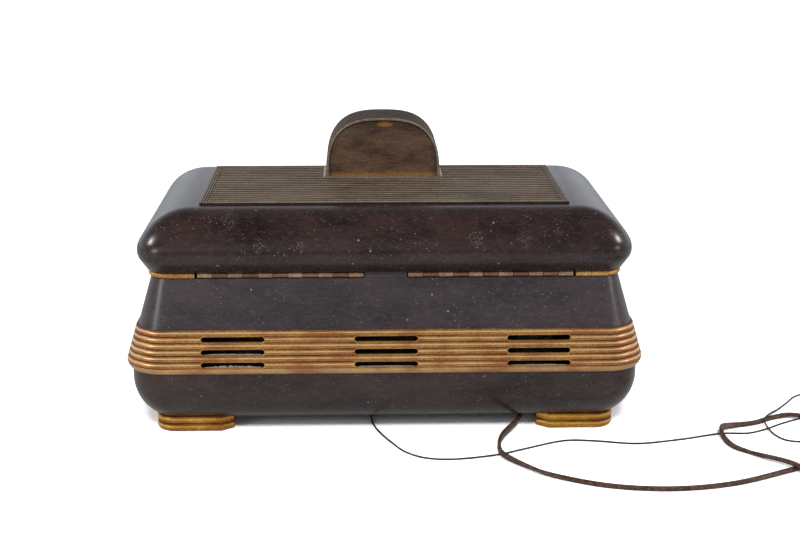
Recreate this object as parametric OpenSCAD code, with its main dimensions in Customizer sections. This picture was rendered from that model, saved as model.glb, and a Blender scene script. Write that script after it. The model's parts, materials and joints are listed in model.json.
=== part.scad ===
// Table radio receiver in a metal chest with a lid that is hinged at the back.
// Millimetres. +Z is up, the front faces -Y and the hinges are at +Y.
// The origin is on the table, under the middle of the case.

/* [Case] */
// Width of the waist, where the base and the lid meet
waist_w = 353.5; // [330:0.5:400]
// Depth of the waist from back to front
waist_d = 202; // [200:1:240]
// Plan radius of the waist's corners
waist_r = 15; // [14:0.5:20]
// Thickness of the case's cast walls
case_wall = 1.6; // [1.2:0.1:2.2]
// How far the wall flares out for each millimetre down from the waist
flare = 0.294; // [0.26:0.002:0.32]
// Height of the feet under the bowl
foot_h = 12.5; // [11:0.5:15]
// Height of the lower bowl
bowl_h = 40.5; // [36:0.1:44]
// How far the bowl's upper edge stands out from the waist
bowl_out = 16.2; // [15.7:0.1:18]
// Radius of the bowl's rounding in section
bowl_r = 38; // [36:0.5:40]
// Height of the ribbed band
band_h = 33; // [30:0.5:36]
// Height of the plain upper body, from the band to the rim
upper_h = 37.1; // [35:0.1:42]

/* [Band and vents] */
// Number of ribs on the band
rib_count = 7; // [5:2:7]
// Height of the lowest rib, where the wall turns in to the bowl
lip_h = 5.6; // [4.6:0.1:6.4]
// Thickness of the band's strip under the ribs
strip_t = 0.5; // [0.4:0.1:0.8]
// How far a rib stands out of the strip
rib_h = 1.1; // [0.8:0.1:1.4]
// Length of a vent slot
slot_l = 47.4; // [40:0.1:55]
// Height of a vent slot
slot_h = 4.3; // [3.5:0.1:4.4]
// Distance between the middles of two groups of slots
slot_step = 114.6; // [100:0.1:118]

/* [Feet] */
// Length of a foot along the case
foot_l = 60; // [54:1:64]
// Depth of a foot from the back
foot_d = 46; // [44:1:52]
// Cut-off at a foot's inner ends, along the longer side
foot_cut = 9.3; // [6:0.1:12]

/* [Lid] */
// How far the lid's nose stands out from the waist
nose_out = 10; // [8:0.1:11]
// Height of the nose above the lid's lower edge
nose_up = 14; // [13:0.1:17]
// Height of the lid's flat top above its nose
crown_h = 29.4; // [26:0.1:31]
// Distance from the nose in to the flat top
crown_in = 38.4; // [36:0.1:42]
// Section radius of the shoulder just above the nose
shoulder_r = 17; // [15:0.5:20]
// Section radius under the nose
tuck_r = 11; // [9:0.1:13]
// Slope of the tuck under the nose, in degrees from upright
tuck_slope = 34; // [30:1:38]
// Plan radius of the lid's corners at the flat top
crown_corner_r = 3; // [2:0.5:5]

/* [Lid panel and crest] */
// Width of the ribbed panel on the lid
panel_w = 282.5; // [260:0.5:290]
// Depth of the ribbed panel
panel_d = 139.2; // [132:0.1:142]
// Thickness of the panel at its border
panel_t = 1.8; // [1.4:0.1:2.4]
// Number of reeds across the panel
panel_reeds = 19; // [12:1:24]
// Width of the crest, which is also the lid's handle
crest_w = 94; // [80:1:100]
// Height of the crest above the panel
crest_h = 49.1; // [40:0.1:56]
// Depth of the crest from back to front
crest_d = 45.3; // [38:0.1:50]
// Wall of the crest's arch
crest_wall = 2.2; // [1.8:0.1:3]

/* [Hinges] */
// Length of one hinge
hinge_l = 124.1; // [110:0.1:126]
// Distance from the middle of the case to a hinge
hinge_from_middle = 16.6; // [12:0.1:20]
// Diameter of the hinge knuckles
barrel_d = 4.3; // [4.2:0.1:5.2]
// Diameter of the hinge pin
pin_d = 2; // [1.6:0.1:2.2]
// Number of knuckles on one hinge
knuckles = 11; // [9:2:13]
// Thickness of a hinge leaf
leaf_t = 0.9; // [0.7:0.1:1.1]

/* [Controls] */
// Thickness of the control deck
deck_t = 1.6; // [1.2:0.1:2]
// Radius of the dial disc
dial_r = 56; // [52:0.5:58]
// Thickness of the dial disc
dial_t = 1; // [0.8:0.1:1.4]
// Core radius of the pinch wheel that drives the dial's edge
pinch_r = 6; // [5.5:0.1:6.5]
// Diameter of the control shafts
shaft_d = 6; // [5.6:0.1:6.4]
// Diameter of the knobs
knob_d = 28; // [24:1:32]
// Height of the knobs
knob_h = 15; // [12:0.5:18]
// Width of the dial window
window_w = 76; // [66:1:84]
// Depth of the dial window
window_d = 38; // [32:1:40]

/* [Chassis] */
// Room in front of the chassis for the loudspeaker
speaker_room = 24; // [22:1:30]
// Height of the chassis pan
chassis_h = 28; // [24:0.5:30]
// Sheet thickness of the chassis pan
chassis_t = 1.2; // [1:0.1:1.6]
// Height of the metal tubes above their sockets
tube_h = 61; // [54:1:62]
// Radius of a metal tube's shell
tube_r = 13; // [11:0.5:13.5]
// Width of a coil can
can_w = 29; // [24:0.5:30]
// Height of a coil can
can_h = 58; // [50:1:60]
// Radius of the filter capacitor
capacitor_r = 16.5; // [12:0.5:17]
// Width of the power transformer
transformer_w = 56; // [44:1:58]
// Height of the power transformer
transformer_h = 58; // [44:1:60]
// Outside radius of the loudspeaker
speaker_r = 48; // [44:0.5:48]

/* [Cords] */
// Width of the flat mains cord
cord_w = 5; // [5]
// Thickness of the flat mains cord
cord_t = 2.7; // [2.7]
// Diameter of the aerial wire
wire_d = 1.4; // [1.4]

/* [Hidden] */
$fn = 64;

// Small clearances and lengths that several pieces share
turn_gap = 0.05;
face_gap = 0.3;
over = 1;

// Levels of the case, from the table up
seam_z = foot_h + bowl_h;
band_top_z = seam_z + band_h;
rim_z = band_top_z + upper_h;
hinge_z = rim_z + face_gap + barrel_d / 2;
lid_z = rim_z + barrel_d + 2 * face_gap;
nose_z = lid_z + nose_up;
crown_z = nose_z + crown_h;
panel_z = crown_z + panel_t;

// Plan of the case
core_x = waist_w / 2 - waist_r;
core_y = waist_d / 2 - waist_r;
hinge_y = waist_d / 2;
flange_w = waist_r;
flange_t = 1.6;
rib_pitch = (band_h - lip_h) / (rib_count - 1);

// The deck hangs under the rim's flange
deck_z = rim_z - flange_t;
deck_lap = 7.5;
flange_screw_in = 4;

// Corner posts and the screws through them
post_in = 8.5;
post_r = 4;
screw_r = 2;
screw_head_r = 3.8;
screw_head_h = 1.6;
small_screw_r = 1.5;
small_head_r = 2.6;
small_head_h = 0.9;

// Bottom opening and the plate that closes it
bottom_in = 25;
plate_lap = 6;
plate_t = 1.2;
plate_z = foot_h + case_wall;
chassis_z = plate_z + plate_t;
chassis_top_z = chassis_z + chassis_h;
chassis_gap = 0.5;
chassis_x1 = core_x - bottom_in - chassis_gap;
chassis_y0 = bottom_in - core_y + speaker_room;
chassis_y1 = core_y - bottom_in;

// Dial and drive
dial_y = 5;
dial_drop = 3.4;
dial_z = deck_z - deck_t - dial_drop - dial_t;
pinch_gap = 0.15;
pinch_flange_t = 1.7;
pinch_flange_r = 9;
drive_angle = -50;
drive_x = (dial_r + pinch_r + pinch_gap) * cos(drive_angle);
drive_y = dial_y + (dial_r + pinch_r + pinch_gap) * sin(drive_angle);
knob_z = deck_z + 4.5;
bush_r = 4.8;
window_y = dial_y + 9;

// Loudspeaker
speaker_z = 66;
baffle_t = 4;
baffle_in = 1;
baffle_front_y = baffle_in - waist_d / 2;
baffle_back_y = baffle_front_y + baffle_t;

// Crest
crest_front_t = 1.2;
crest_back_y = -24.4;
crest_front_y = crest_back_y - crest_d + crest_front_t;
crest_reeds = 7;
panel_y = -2.1;

// Finishes
lacquer = [0.24, 0.19, 0.17];
gilt = [0.72, 0.52, 0.27];
bronze = [0.45, 0.38, 0.30];
brass = [0.66, 0.48, 0.33];
steel = [0.70, 0.70, 0.68];
tin = [0.62, 0.62, 0.60];
black = [0.12, 0.11, 0.11];
bakelite = [0.30, 0.16, 0.10];
paper = [0.82, 0.74, 0.58];

// Offset of the wall's outside face from the waist, at height z
function wall_out(z) = z >= seam_z + lip_h
    ? flare * (rim_z - z)
    : bowl_out + (flare * (rim_z - seam_z - lip_h) - bowl_out) * (z - seam_z) / lip_h;

// Points of an arc in a section, from angle a0 to a1
function arc(c, r, a0, a1, n) =
    [for (i = [0:n]) let (a = a0 + (a1 - a0) * i / n) [c[0] + r * cos(a), c[1] + r * sin(a)]];

// Outline of the arch that the crest and the dial window share
function arch(half_w, h, n = 14) =
    [for (i = [0:2 * n]) let (a = 90 * i / n, c = cos(a), s = sin(a))
        [half_w * sign(c) * pow(abs(c), 0.7), h * pow(abs(s), 0.7)]];

// Closed section, given as offsets from the waist, swept round the case's plan
module sweep(section) {
    ring = [for (q = section) [q[0] + waist_r, q[1]]];
    for (turn = [0:3])
        translate([(turn == 0 || turn == 3 ? 1 : -1) * core_x, (turn < 2 ? 1 : -1) * core_y, 0])
            rotate([0, 0, 90 * turn]) rotate_extrude(angle = 90) polygon(ring);
    for (half = [0, 180]) rotate([0, 0, half]) {
        translate([core_x, core_y, 0]) rotate([90, 0, 0]) linear_extrude(2 * core_y) polygon(ring);
        translate([-core_x, core_y, 0]) rotate([90, 0, 90]) linear_extrude(2 * core_x) polygon(ring);
    }
}

// Flat plate with round corners, of half sizes hx and hy
module round_plate(hx, hy, r, z, t) {
    translate([0, 0, z]) linear_extrude(t) {
        square([2 * hx, 2 * (hy - r)], center = true);
        square([2 * (hx - r), 2 * hy], center = true);
        for (sx = [-1, 1]) for (sy = [-1, 1]) translate([sx * (hx - r), sy * (hy - r)]) circle(r);
    }
}

module block(low, high) {
    translate(low) cube(high - low);
}

module rod(x, y, z0, z1, r) {
    translate([x, y, z0]) cylinder(r = r, h = z1 - z0);
}

module slot_2d(l, h) {
    square([l - h, h], center = true);
    for (s = [-1, 1]) translate([s * (l - h) / 2, 0]) circle(d = h);
}

// Lower edge of a rib, counted from the lowest
function rib_z(k) = k == 0 ? seam_z : seam_z + lip_h + rib_pitch * (k - 1);

// The slots run in every second rib, in three groups, at the back and at the front
module vent_slots() {
    for (face = [0, 180]) rotate([0, 0, face])
        for (row = [1:2:rib_count - 2]) for (group = [-1, 0, 1])
            translate([group * slot_step, core_y, (rib_z(row) + rib_z(row + 1)) / 2])
                rotate([-90, 0, 0]) linear_extrude(waist_r + 3 * bowl_out) slot_2d(slot_l, slot_h);
}

// Raised edge of the rim, in the gap between the two hinges
gap_edge_t = 2.1;
gap_edge_side = 0.7;

// Screws through the rim's flange into the deck
function flange_screw_places() = concat(
    [for (s = [-1, 1]) [0, s * (core_y + flange_screw_in)]],
    [for (sx = [-1, 1]) for (sy = [-1, 1]) [sx * (core_x + flange_screw_in), sy * core_y / 2]]);

function post_places() =
    [for (sx = [-1, 1]) for (sy = [-1, 1]) [sx * (core_x - post_in), sy * (core_y - post_in)]];

// Hinge places: leaves lie on the flange, with screws at steps along them
leaf_d = 13;
leaf_stop = barrel_d / 2 + 0.35;
hinge_screw_y = hinge_y - 5.6;
function hinge_screw_xs(shift) =
    [for (k = [0.5, 1.5, 2.5]) hinge_from_middle + hinge_l * (k + shift) / 3];

module upper_body() {
    color(lacquer) difference() {
        union() {
            z1 = seam_z + lip_h;
            sweep([
                [bowl_out, seam_z], [wall_out(z1), z1], [wall_out(rim_z), rim_z],
                [-case_wall, rim_z], [wall_out(z1) - case_wall, z1], [bowl_out - case_wall, seam_z]]);
            difference() {
                round_plate(core_x + waist_r - case_wall / 2, core_y + waist_r - case_wall / 2,
                    waist_r - case_wall / 2, deck_z, flange_t);
                block([-core_x - waist_r + flange_w, -core_y - waist_r + flange_w, deck_z - over],
                    [core_x + waist_r - flange_w, core_y + waist_r - flange_w, rim_z + over]);
            }
            block([gap_edge_side - hinge_from_middle, hinge_y - gap_edge_t, deck_z],
                [hinge_from_middle - gap_edge_side, hinge_y, lid_z - 2 * face_gap]);
        }
        vent_slots();
        for (p = flange_screw_places()) rod(p[0], p[1], deck_z - over, rim_z + over, small_screw_r + turn_gap);
        for (s = [-1, 1]) for (x = hinge_screw_xs(0))
            rod(s * x, hinge_screw_y, deck_z - over, rim_z + over, small_screw_r + turn_gap);
    }
}

module ribbed_band() {
    steps = 6;
    outer = [for (r = [0:rib_count - 1]) for (k = [0:steps - 1])
        let (a = 180 * k / steps, z = rib_z(r) + (rib_z(r + 1) - rib_z(r)) * (1 - cos(a)) / 2)
            [wall_out(z) + strip_t + rib_h * sin(a), z]];
    color(gilt) difference() {
        sweep(concat(
            outer,
            [[wall_out(band_top_z) + strip_t, band_top_z], [wall_out(band_top_z), band_top_z],
             [wall_out(seam_z + lip_h), seam_z + lip_h], [wall_out(seam_z), seam_z]]));
        vent_slots();
    }
}

// The bowl's rounding starts this far under its upper edge
bowl_straight = 8.3;
bowl_arc_z = seam_z - bowl_straight;

module lower_bowl() {
    c = [bowl_out - bowl_r, bowl_arc_z];
    outer_end = asin((bowl_arc_z - foot_h) / bowl_r);
    inner_end = asin((bowl_arc_z - plate_z) / (bowl_r - case_wall));
    color(lacquer) difference() {
        union() {
            sweep(concat(
                [[bowl_out, seam_z], [bowl_out - case_wall, seam_z]],
                arc(c, bowl_r - case_wall, 0, -inner_end, 12),
                [[-waist_r, plate_z], [-waist_r, foot_h]],
                arc(c, bowl_r, -outer_end, 0, 12)));
            block([-core_x, -core_y, foot_h], [core_x, core_y, plate_z]);
        }
        block([bottom_in - core_x, bottom_in - core_y, foot_h - over],
            [core_x - bottom_in, core_y - bottom_in, plate_z + over]);
        for (p = post_places()) rod(p[0], p[1], foot_h - over, plate_z + over, screw_r + turn_gap);
        for (p = plate_screw_places())
            rod(p[0], p[1], foot_h - over, plate_z + over, small_screw_r + turn_gap);
    }
}

// The moulding covers the joint, and leaves the hinges and the middle of the back free.
// Its two ends at the back are short pieces of their own.
moulding_h = lid_z - face_gap - rim_z;
moulding_out = 2;
moulding_gap = 1.9;
moulding_end_l = 12;
module rim_moulding() {
    r = moulding_h / 2;
    half = hinge_from_middle + hinge_l + moulding_gap;
    color(gilt) difference() {
        sweep(concat(
            arc([moulding_out - r, rim_z + r], r, -90, 90, 10),
            [[moulding_out - r - 1, rim_z + moulding_h], [moulding_out - r - 1, rim_z]]));
        block([-half, 0, rim_z - over], [half, waist_d, lid_z + over]);
        for (s = [-1, 1]) translate([s * (half + moulding_end_l), hinge_y, rim_z + r])
            cube([face_gap, waist_r, 2 * moulding_h], center = true);
    }
}

plate_screw_in = 30;
function plate_screw_places() =
    [for (sx = [-1, 0, 1]) for (sy = [-1, 1])
        [sx * (core_x - bottom_in - plate_screw_in), sy * (core_y - bottom_in + plate_lap / 2)]];

function chassis_screw_places() =
    [for (sx = [-1, 1]) for (sy = [-1, 1])
        [sx * (chassis_x1 - 7), (chassis_y0 + chassis_y1) / 2 + sy * ((chassis_y1 - chassis_y0) / 2 - 7)]];

// The bottom plate has a row of air slots under the tubes
air_slot = [34, 5];
air_slots = 6;
module bottom_plate() {
    hx = core_x - bottom_in + plate_lap;
    hy = core_y - bottom_in + plate_lap;
    color(steel) difference() {
        block([-hx, -hy, plate_z], [hx, hy, plate_z + plate_t]);
        for (i = [0:air_slots - 1]) for (s = [-1, 1])
            translate([s * chassis_x1 * 0.45, chassis_y0 + 19 + 12 * i, plate_z - over])
                linear_extrude(plate_t + 2 * over) slot_2d(air_slot[0], air_slot[1]);
        for (p = concat(plate_screw_places(), chassis_screw_places()))
            rod(p[0], p[1], plate_z - over, plate_z + plate_t + over, small_screw_r + turn_gap);
    }
}

// Plan of a foot, drawn in by some millimetres. Its outer corner is at the origin.
foot_round = 15;
foot_cut_d = foot_cut * 0.71;
function foot_plan(i) = let (
        len_cut = norm([foot_cut, foot_cut_d]),
        nx = foot_cut_d / len_cut,
        ny = foot_cut / len_cut,
        along = (1 - ny) / nx,
        back = (1 - nx) / ny)
    concat(
        arc([foot_round, foot_round], foot_round - i, 180, 270, 6),
        [[foot_l - foot_cut - along * i, i], [foot_l - i, foot_cut_d + back * i],
         [foot_l - i, foot_d - foot_cut_d - back * i], [foot_l - foot_cut - along * i, foot_d - i],
         [foot_cut_d + back * i, foot_d - i], [i, foot_d - foot_cut - along * i]]);

// Stack of drawn-in outlines, each [how far drawn in, height], as one closed solid
module foot_stack(levels) {
    rings = [for (l = levels) [for (p = foot_plan(l[0])) [p[0], p[1], l[1]]]];
    n = len(rings[0]);
    polyhedron(
        [for (r = rings) for (p = r) p],
        concat(
            [[for (k = [0:n - 1]) k]],
            [for (i = [0:len(rings) - 2]) for (k = [0:n - 1]) for (f = [
                [i * n + k, (i + 1) * n + k, (i + 1) * n + (k + 1) % n],
                [i * n + k, (i + 1) * n + (k + 1) % n, i * n + (k + 1) % n]]) f],
            [[for (k = [n - 1:-1:0]) (len(rings) - 1) * n + k]]));
}

// Two round ridges with a groove between them
foot_ridge = 0.47 * foot_h;
foot_groove_in = 1.7;
function ridge(z0, z1, start_in, end_in, n) =
    [for (k = [0:n]) let (a = 180 * k / n)
        [(k < n / 2 ? start_in : end_in) * (1 - sin(a)), z0 + (z1 - z0) * (1 - cos(a)) / 2]];
foot_pad = 0.6;
foot_levels = concat(
    ridge(foot_pad, foot_ridge, 3, foot_groove_in, 8),
    ridge(foot_ridge + 0.4, foot_h, foot_groove_in, 2.6, 8));

module foot(sx, sy) {
    outer = [core_x + waist_r + 0.5, core_y + waist_r - 0.5];
    hole = [core_x - post_in, core_y - post_in];
    well = 8;
    color(gilt) difference() {
        translate([sx * outer[0], sy * outer[1], 0])
            mirror([sx > 0 ? 1 : 0, 0, 0]) mirror([0, sy > 0 ? 1 : 0, 0]) union() {
                foot_stack(foot_levels);
                linear_extrude(foot_pad) polygon(foot_plan(3));
            }
        rod(sx * hole[0], sy * hole[1], -over, foot_h + over, screw_r + turn_gap);
        rod(sx * hole[0], sy * hole[1], -over, well, screw_head_r + face_gap);
    }
}

module foot_back_left() { foot(1, 1); }
module foot_back_right() { foot(-1, 1); }
module foot_front_left() { foot(1, -1); }
module foot_front_right() { foot(-1, -1); }

// Posts that tie the deck to the bowl's floor, bored from both ends
post_bore = 22;
module corner_posts() {
    color(steel) for (p = post_places()) difference() {
        rod(p[0], p[1], plate_z, deck_z - deck_t, post_r);
        rod(p[0], p[1], plate_z - over, plate_z + post_bore, screw_r + turn_gap);
        rod(p[0], p[1], deck_z - deck_t - post_bore, deck_z, screw_r + turn_gap);
    }
}

module foot_screws() {
    well = 8;
    color(steel) for (p = post_places()) {
        rod(p[0], p[1], well - screw_head_h, well, screw_head_r);
        rod(p[0], p[1], well - 0.1, plate_z + post_bore - 2, screw_r);
    }
}

module deck_screws() {
    color(steel) {
        for (p = post_places()) {
            rod(p[0], p[1], deck_z, deck_z + screw_head_h, screw_head_r);
            rod(p[0], p[1], deck_z - deck_t - post_bore + 4, deck_z + 0.1, screw_r);
        }
        for (p = flange_screw_places()) {
            rod(p[0], p[1], rim_z, rim_z + screw_head_h, small_head_r);
            rod(p[0], p[1], deck_z - deck_t - 3, rim_z + 0.1, small_screw_r);
        }
    }
}

// One hinge leaf with its own knuckles. up is 1 for the lid's leaf and -1 for the base's.
module hinge_leaf(up, first) {
    pitch = hinge_l / knuckles;
    gap = 0.3;
    z0 = up > 0 ? lid_z - leaf_t : rim_z;
    translate([hinge_from_middle, 0, 0]) difference() {
        union() {
            block([0, hinge_y - leaf_d, z0], [hinge_l, hinge_y - leaf_stop, z0 + leaf_t]);
            for (k = [first:2:knuckles - 1]) {
                x0 = k * pitch + gap / 2;
                block([x0, hinge_y - leaf_stop - 0.1, z0], [x0 + pitch - gap, hinge_y, z0 + leaf_t]);
                translate([x0, hinge_y, hinge_z]) rotate([0, 90, 0]) cylinder(d = barrel_d, h = pitch - gap);
            }
        }
        translate([-over, hinge_y, hinge_z]) rotate([0, 90, 0])
            cylinder(d = pin_d + 2 * turn_gap, h = hinge_l + 2 * over);
        for (x = hinge_screw_xs(up > 0 ? 0.25 : 0))
            rod(x - hinge_from_middle, hinge_screw_y, z0 - over, z0 + leaf_t + over, small_screw_r + turn_gap);
    }
}

module hinge_base_left() { color(brass) hinge_leaf(-1, 0); }
module hinge_base_right() { color(brass) mirror([1, 0, 0]) hinge_leaf(-1, 0); }
module hinge_lid_left() { color(brass) hinge_leaf(1, 1); }
module hinge_lid_right() { color(brass) mirror([1, 0, 0]) hinge_leaf(1, 1); }

module hinge_pins() {
    color(steel) for (s = [0, 1]) mirror([s, 0, 0])
        translate([hinge_from_middle, hinge_y, hinge_z]) rotate([0, 90, 0]) cylinder(d = pin_d, h = hinge_l);
}

module hinge_base_screws() {
    color(brass) for (s = [-1, 1]) for (x = hinge_screw_xs(0)) {
        rod(s * x, hinge_screw_y, rim_z + leaf_t, rim_z + leaf_t + small_head_h, small_head_r);
        rod(s * x, hinge_screw_y, deck_z - 2, rim_z + leaf_t + 0.1, small_screw_r);
    }
}

// Two soft bumpers carry the lid's front corners
bumper_r = 3.5;
module rim_bumpers() {
    color(black) for (s = [-1, 1])
        rod(s * (core_x - 10), -core_y - flange_w / 2, rim_z, lid_z - face_gap, bumper_r);
}

// Plan of the arched window, its base towards the front
module window_2d(grow) {
    translate([0, window_y - grow])
        polygon(arch(window_w / 2 + grow, window_d + 2 * grow));
}

escutcheon_w = 6;
escutcheon_t = 3;
rebate = 2;
lens_t = 1.2;
module control_deck() {
    color(lacquer) difference() {
        round_plate(core_x + deck_lap, core_y + deck_lap, deck_lap, deck_z - deck_t, deck_t);
        translate([0, 0, deck_z - deck_t - over]) linear_extrude(deck_t + 2 * over) window_2d(0);
        for (s = [-1, 1]) rod(s * drive_x, drive_y, deck_z - deck_t - over, deck_z + over, bush_r + turn_gap);
        for (p = post_places()) rod(p[0], p[1], deck_z - deck_t - over, deck_z + over, screw_r + turn_gap);
        for (p = flange_screw_places())
            rod(p[0], p[1], deck_z - deck_t - over, deck_z + over, small_screw_r + turn_gap);
    }
}

module dial_escutcheon() {
    color(gilt) difference() {
        translate([0, 0, deck_z]) linear_extrude(escutcheon_t) window_2d(escutcheon_w);
        translate([0, 0, deck_z - over]) linear_extrude(escutcheon_t + 2 * over) window_2d(-0.5);
        translate([0, 0, deck_z - over]) linear_extrude(lens_t + over) window_2d(rebate + turn_gap);
    }
}

module dial_window() {
    color([0.85, 0.80, 0.62, 0.5]) translate([0, 0, deck_z]) linear_extrude(lens_t) window_2d(rebate);
}

hub_r = 8;
hub_h = 5;
module dial_disc() {
    color(paper) difference() {
        union() {
            rod(0, dial_y, dial_z, dial_z + dial_t, dial_r);
            rod(0, dial_y, dial_z - hub_h, dial_z + 0.1, hub_r);
        }
        rod(0, dial_y, dial_z - hub_h - over, dial_z + dial_t + over, shaft_d / 2 + turn_gap);
    }
}

// Two-gang tuning capacitor: rotor plates swing between fixed plates
gang_half_w = 26;
gang_plate_r = 20;
gang_top_z = dial_z - hub_h - 9;
gang_t = 1.5;
gang_bottom_z = chassis_top_z;
vane_t = 0.8;
vane_step = 2.6;
vane_count = 7;
section_zs = [gang_bottom_z + gang_t + 3, (gang_bottom_z + gang_top_z) / 2 + 2];
gang_back = 24;
module gang_frame() {
    color(tin) difference() {
        union() {
            block([-gang_half_w, dial_y - 18, gang_bottom_z], [gang_half_w, dial_y + gang_back, gang_bottom_z + gang_t]);
            block([-gang_half_w, dial_y - 18, gang_top_z - gang_t], [gang_half_w, dial_y + gang_back, gang_top_z]);
            block([-gang_half_w, dial_y + gang_back - gang_t, gang_bottom_z],
                [gang_half_w, dial_y + gang_back, gang_top_z]);
        }
        rod(0, dial_y, gang_bottom_z - over, gang_top_z + over, shaft_d / 2 + turn_gap);
    }
}

module gang_stator() {
    color(tin) {
        for (z = section_zs) for (k = [0:vane_count])
            difference() {
                block([-gang_half_w + 4, dial_y + 5, z + k * vane_step - vane_t],
                    [gang_half_w - 4, dial_y + gang_back - gang_t, z + k * vane_step]);
                rod(0, dial_y, z - over - vane_t, z + (vane_count + 1) * vane_step, shaft_d / 2 + 3);
            }
    }
}

module gang_rotor() {
    color(steel) {
        rod(0, dial_y, gang_bottom_z + 0.5, dial_z + dial_t, shaft_d / 2);
        for (z = section_zs) for (k = [0:vane_count - 1])
            intersection() {
                rod(0, dial_y, z + (k + 0.5) * vane_step - vane_t, z + (k + 0.5) * vane_step, gang_plate_r);
                block([-gang_plate_r, dial_y - 2, z - over],
                    [gang_plate_r, dial_y + gang_plate_r, z + (vane_count + 1) * vane_step]);
            }
    }
}

// Fluted knob with a blind bore for its shaft
flutes = 18;
module knob(x) {
    bore_h = knob_h - 4;
    color(bakelite) difference() {
        union() {
            rod(x, drive_y, knob_z, knob_z + 3, knob_d / 2);
            rod(x, drive_y, knob_z, knob_z + knob_h - 2, knob_d / 2 - 1.5);
            translate([x, drive_y, knob_z + knob_h - 2.1])
                cylinder(r1 = knob_d / 2 - 1.5, r2 = knob_d / 2 - 3.5, h = 2.1);
        }
        for (i = [0:flutes - 1])
            rod(x + (knob_d / 2 - 0.9) * cos(360 * i / flutes), drive_y + (knob_d / 2 - 0.9) * sin(360 * i / flutes),
                knob_z + 3, knob_z + knob_h + over, 1.1);
        rod(x, drive_y, knob_z - over, knob_z + bore_h, shaft_d / 2 + turn_gap);
    }
}

module tuning_knob() { knob(drive_x); }
module volume_knob() { knob(-drive_x); }

// The pinch wheel holds the dial's edge between two flanges
module tuning_shaft() {
    color(brass) {
        rod(drive_x, drive_y, dial_z - 8, knob_z + knob_h - 4.5, shaft_d / 2);
        rod(drive_x, drive_y, dial_z - pinch_flange_t - pinch_gap, dial_z - pinch_gap, pinch_flange_r);
        rod(drive_x, drive_y, dial_z - pinch_gap - 0.1, dial_z + dial_t + pinch_gap + 0.1, pinch_r);
        rod(drive_x, drive_y, dial_z + dial_t + pinch_gap, dial_z + dial_t + pinch_gap + pinch_flange_t,
            pinch_flange_r);
    }
}

module bush(x, z0) {
    difference() {
        union() {
            rod(x, drive_y, z0, deck_z + 3, bush_r);
            translate([x, drive_y, deck_z]) cylinder(r = bush_r + 2.5, h = 2.2, $fn = 6);
        }
        rod(x, drive_y, z0 - over, deck_z + 3 + over, shaft_d / 2 + turn_gap);
    }
}

module tuning_bush() {
    color(brass) bush(drive_x, deck_z - deck_t);
}

bracket_leg = 17;
module drive_bracket() {
    z0 = dial_z - 7;
    color(steel) difference() {
        union() {
            block([drive_x - 8, drive_y - 8, z0], [drive_x + bracket_leg, drive_y + 8, z0 + 1.5]);
            block([drive_x + bracket_leg - 1.5, drive_y - 8, z0],
                [drive_x + bracket_leg, drive_y + 8, deck_z - deck_t]);
        }
        rod(drive_x, drive_y, z0 - over, z0 + 1.5 + over, shaft_d / 2 + turn_gap);
    }
}

pot_r = 12;
pot_h = 12;
switch_h = 8;
pot_z = dial_z - 1 - pot_h;
module volume_shaft() {
    color(steel) rod(-drive_x, drive_y, pot_z + 2, knob_z + knob_h - 4.5, shaft_d / 2);
}

// The body hangs on a long bush, so it clears the edge of the dial disc
module volume_control() {
    color(tin) difference() {
        union() {
            rod(-drive_x, drive_y, pot_z, pot_z + pot_h, pot_r);
            rod(-drive_x, drive_y, pot_z - switch_h, pot_z + 0.1, pot_r - 2);
            bush(-drive_x, pot_z + pot_h - 0.1);
        }
        rod(-drive_x, drive_y, pot_z + 1.5, deck_z + over, shaft_d / 2 + turn_gap);
    }
}

// Loudspeaker behind the front of the band. The ring shapes are turned about the Y axis.
module turned(section) {
    translate([0, baffle_back_y, speaker_z]) rotate([-90, 0, 0]) rotate_extrude() polygon(section);
}

cone_r = speaker_r - 8;
cone_apex_r = 10;
cone_h = 17;
magnet_r = 26;
magnet_h = 34;
basket_h = 24;
batten = 9;
batten_x = 30;
module speaker_baffle() {
    hx = 94;
    // The board starts where the bowl's inner face is clear of its front
    low_z = bowl_arc_z - sqrt(pow(bowl_r - case_wall, 2) - pow(bowl_r - bowl_out - baffle_in + face_gap, 2));
    color(bakelite) difference() {
        union() {
            block([-hx, baffle_front_y, max(plate_z, low_z)], [hx, baffle_back_y, deck_z - deck_t - 4]);
            for (s = [0, 1]) mirror([s, 0, 0])
                block([batten_x, baffle_back_y - 0.1, plate_z], [hx, baffle_back_y + batten, plate_z + batten]);
        }
        translate([0, baffle_front_y - over, speaker_z]) rotate([-90, 0, 0])
            cylinder(r = cone_r + 2, h = baffle_t + 2 * over);
    }
}

module grille_cloth() {
    hx = 92;
    color(paper) block([-hx, baffle_front_y - 0.5, plate_z + 6], [hx, baffle_front_y, deck_z - deck_t - 6]);
}

module speaker_basket() {
    color(steel) difference() {
        turned([[cone_r + 1, 0], [speaker_r, 0], [speaker_r, 2], [cone_r + 4, 2],
            [magnet_r + 2, basket_h], [0, basket_h], [0, basket_h - 1.5], [magnet_r, basket_h - 1.5],
            [cone_r + 1, 1.5]]);
        for (a = [0:90:270]) translate([0, baffle_back_y, speaker_z]) rotate([0, a, 0])
            block([-10, 6, 20], [10, basket_h - 5, speaker_r]);
        translate([0, baffle_back_y, speaker_z]) rotate([-90, 0, 0])
            cylinder(r = cone_apex_r + 1.5, h = basket_h + over);
    }
}

module speaker_cone() {
    color(black) turned([[cone_r + 0.95, 0.2], [cone_r + 0.95, 0.9], [cone_r, 0.9], [cone_apex_r, cone_h], [cone_apex_r, basket_h - 4],
        [cone_apex_r - 0.7, basket_h - 4], [cone_apex_r - 0.7, cone_h - 0.5], [cone_r - 1.2, 0.2]]);
}

module speaker_magnet() {
    color(tin) turned([[0, basket_h], [magnet_r, basket_h], [magnet_r, basket_h + magnet_h], [0, basket_h + magnet_h]]);
}

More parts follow.
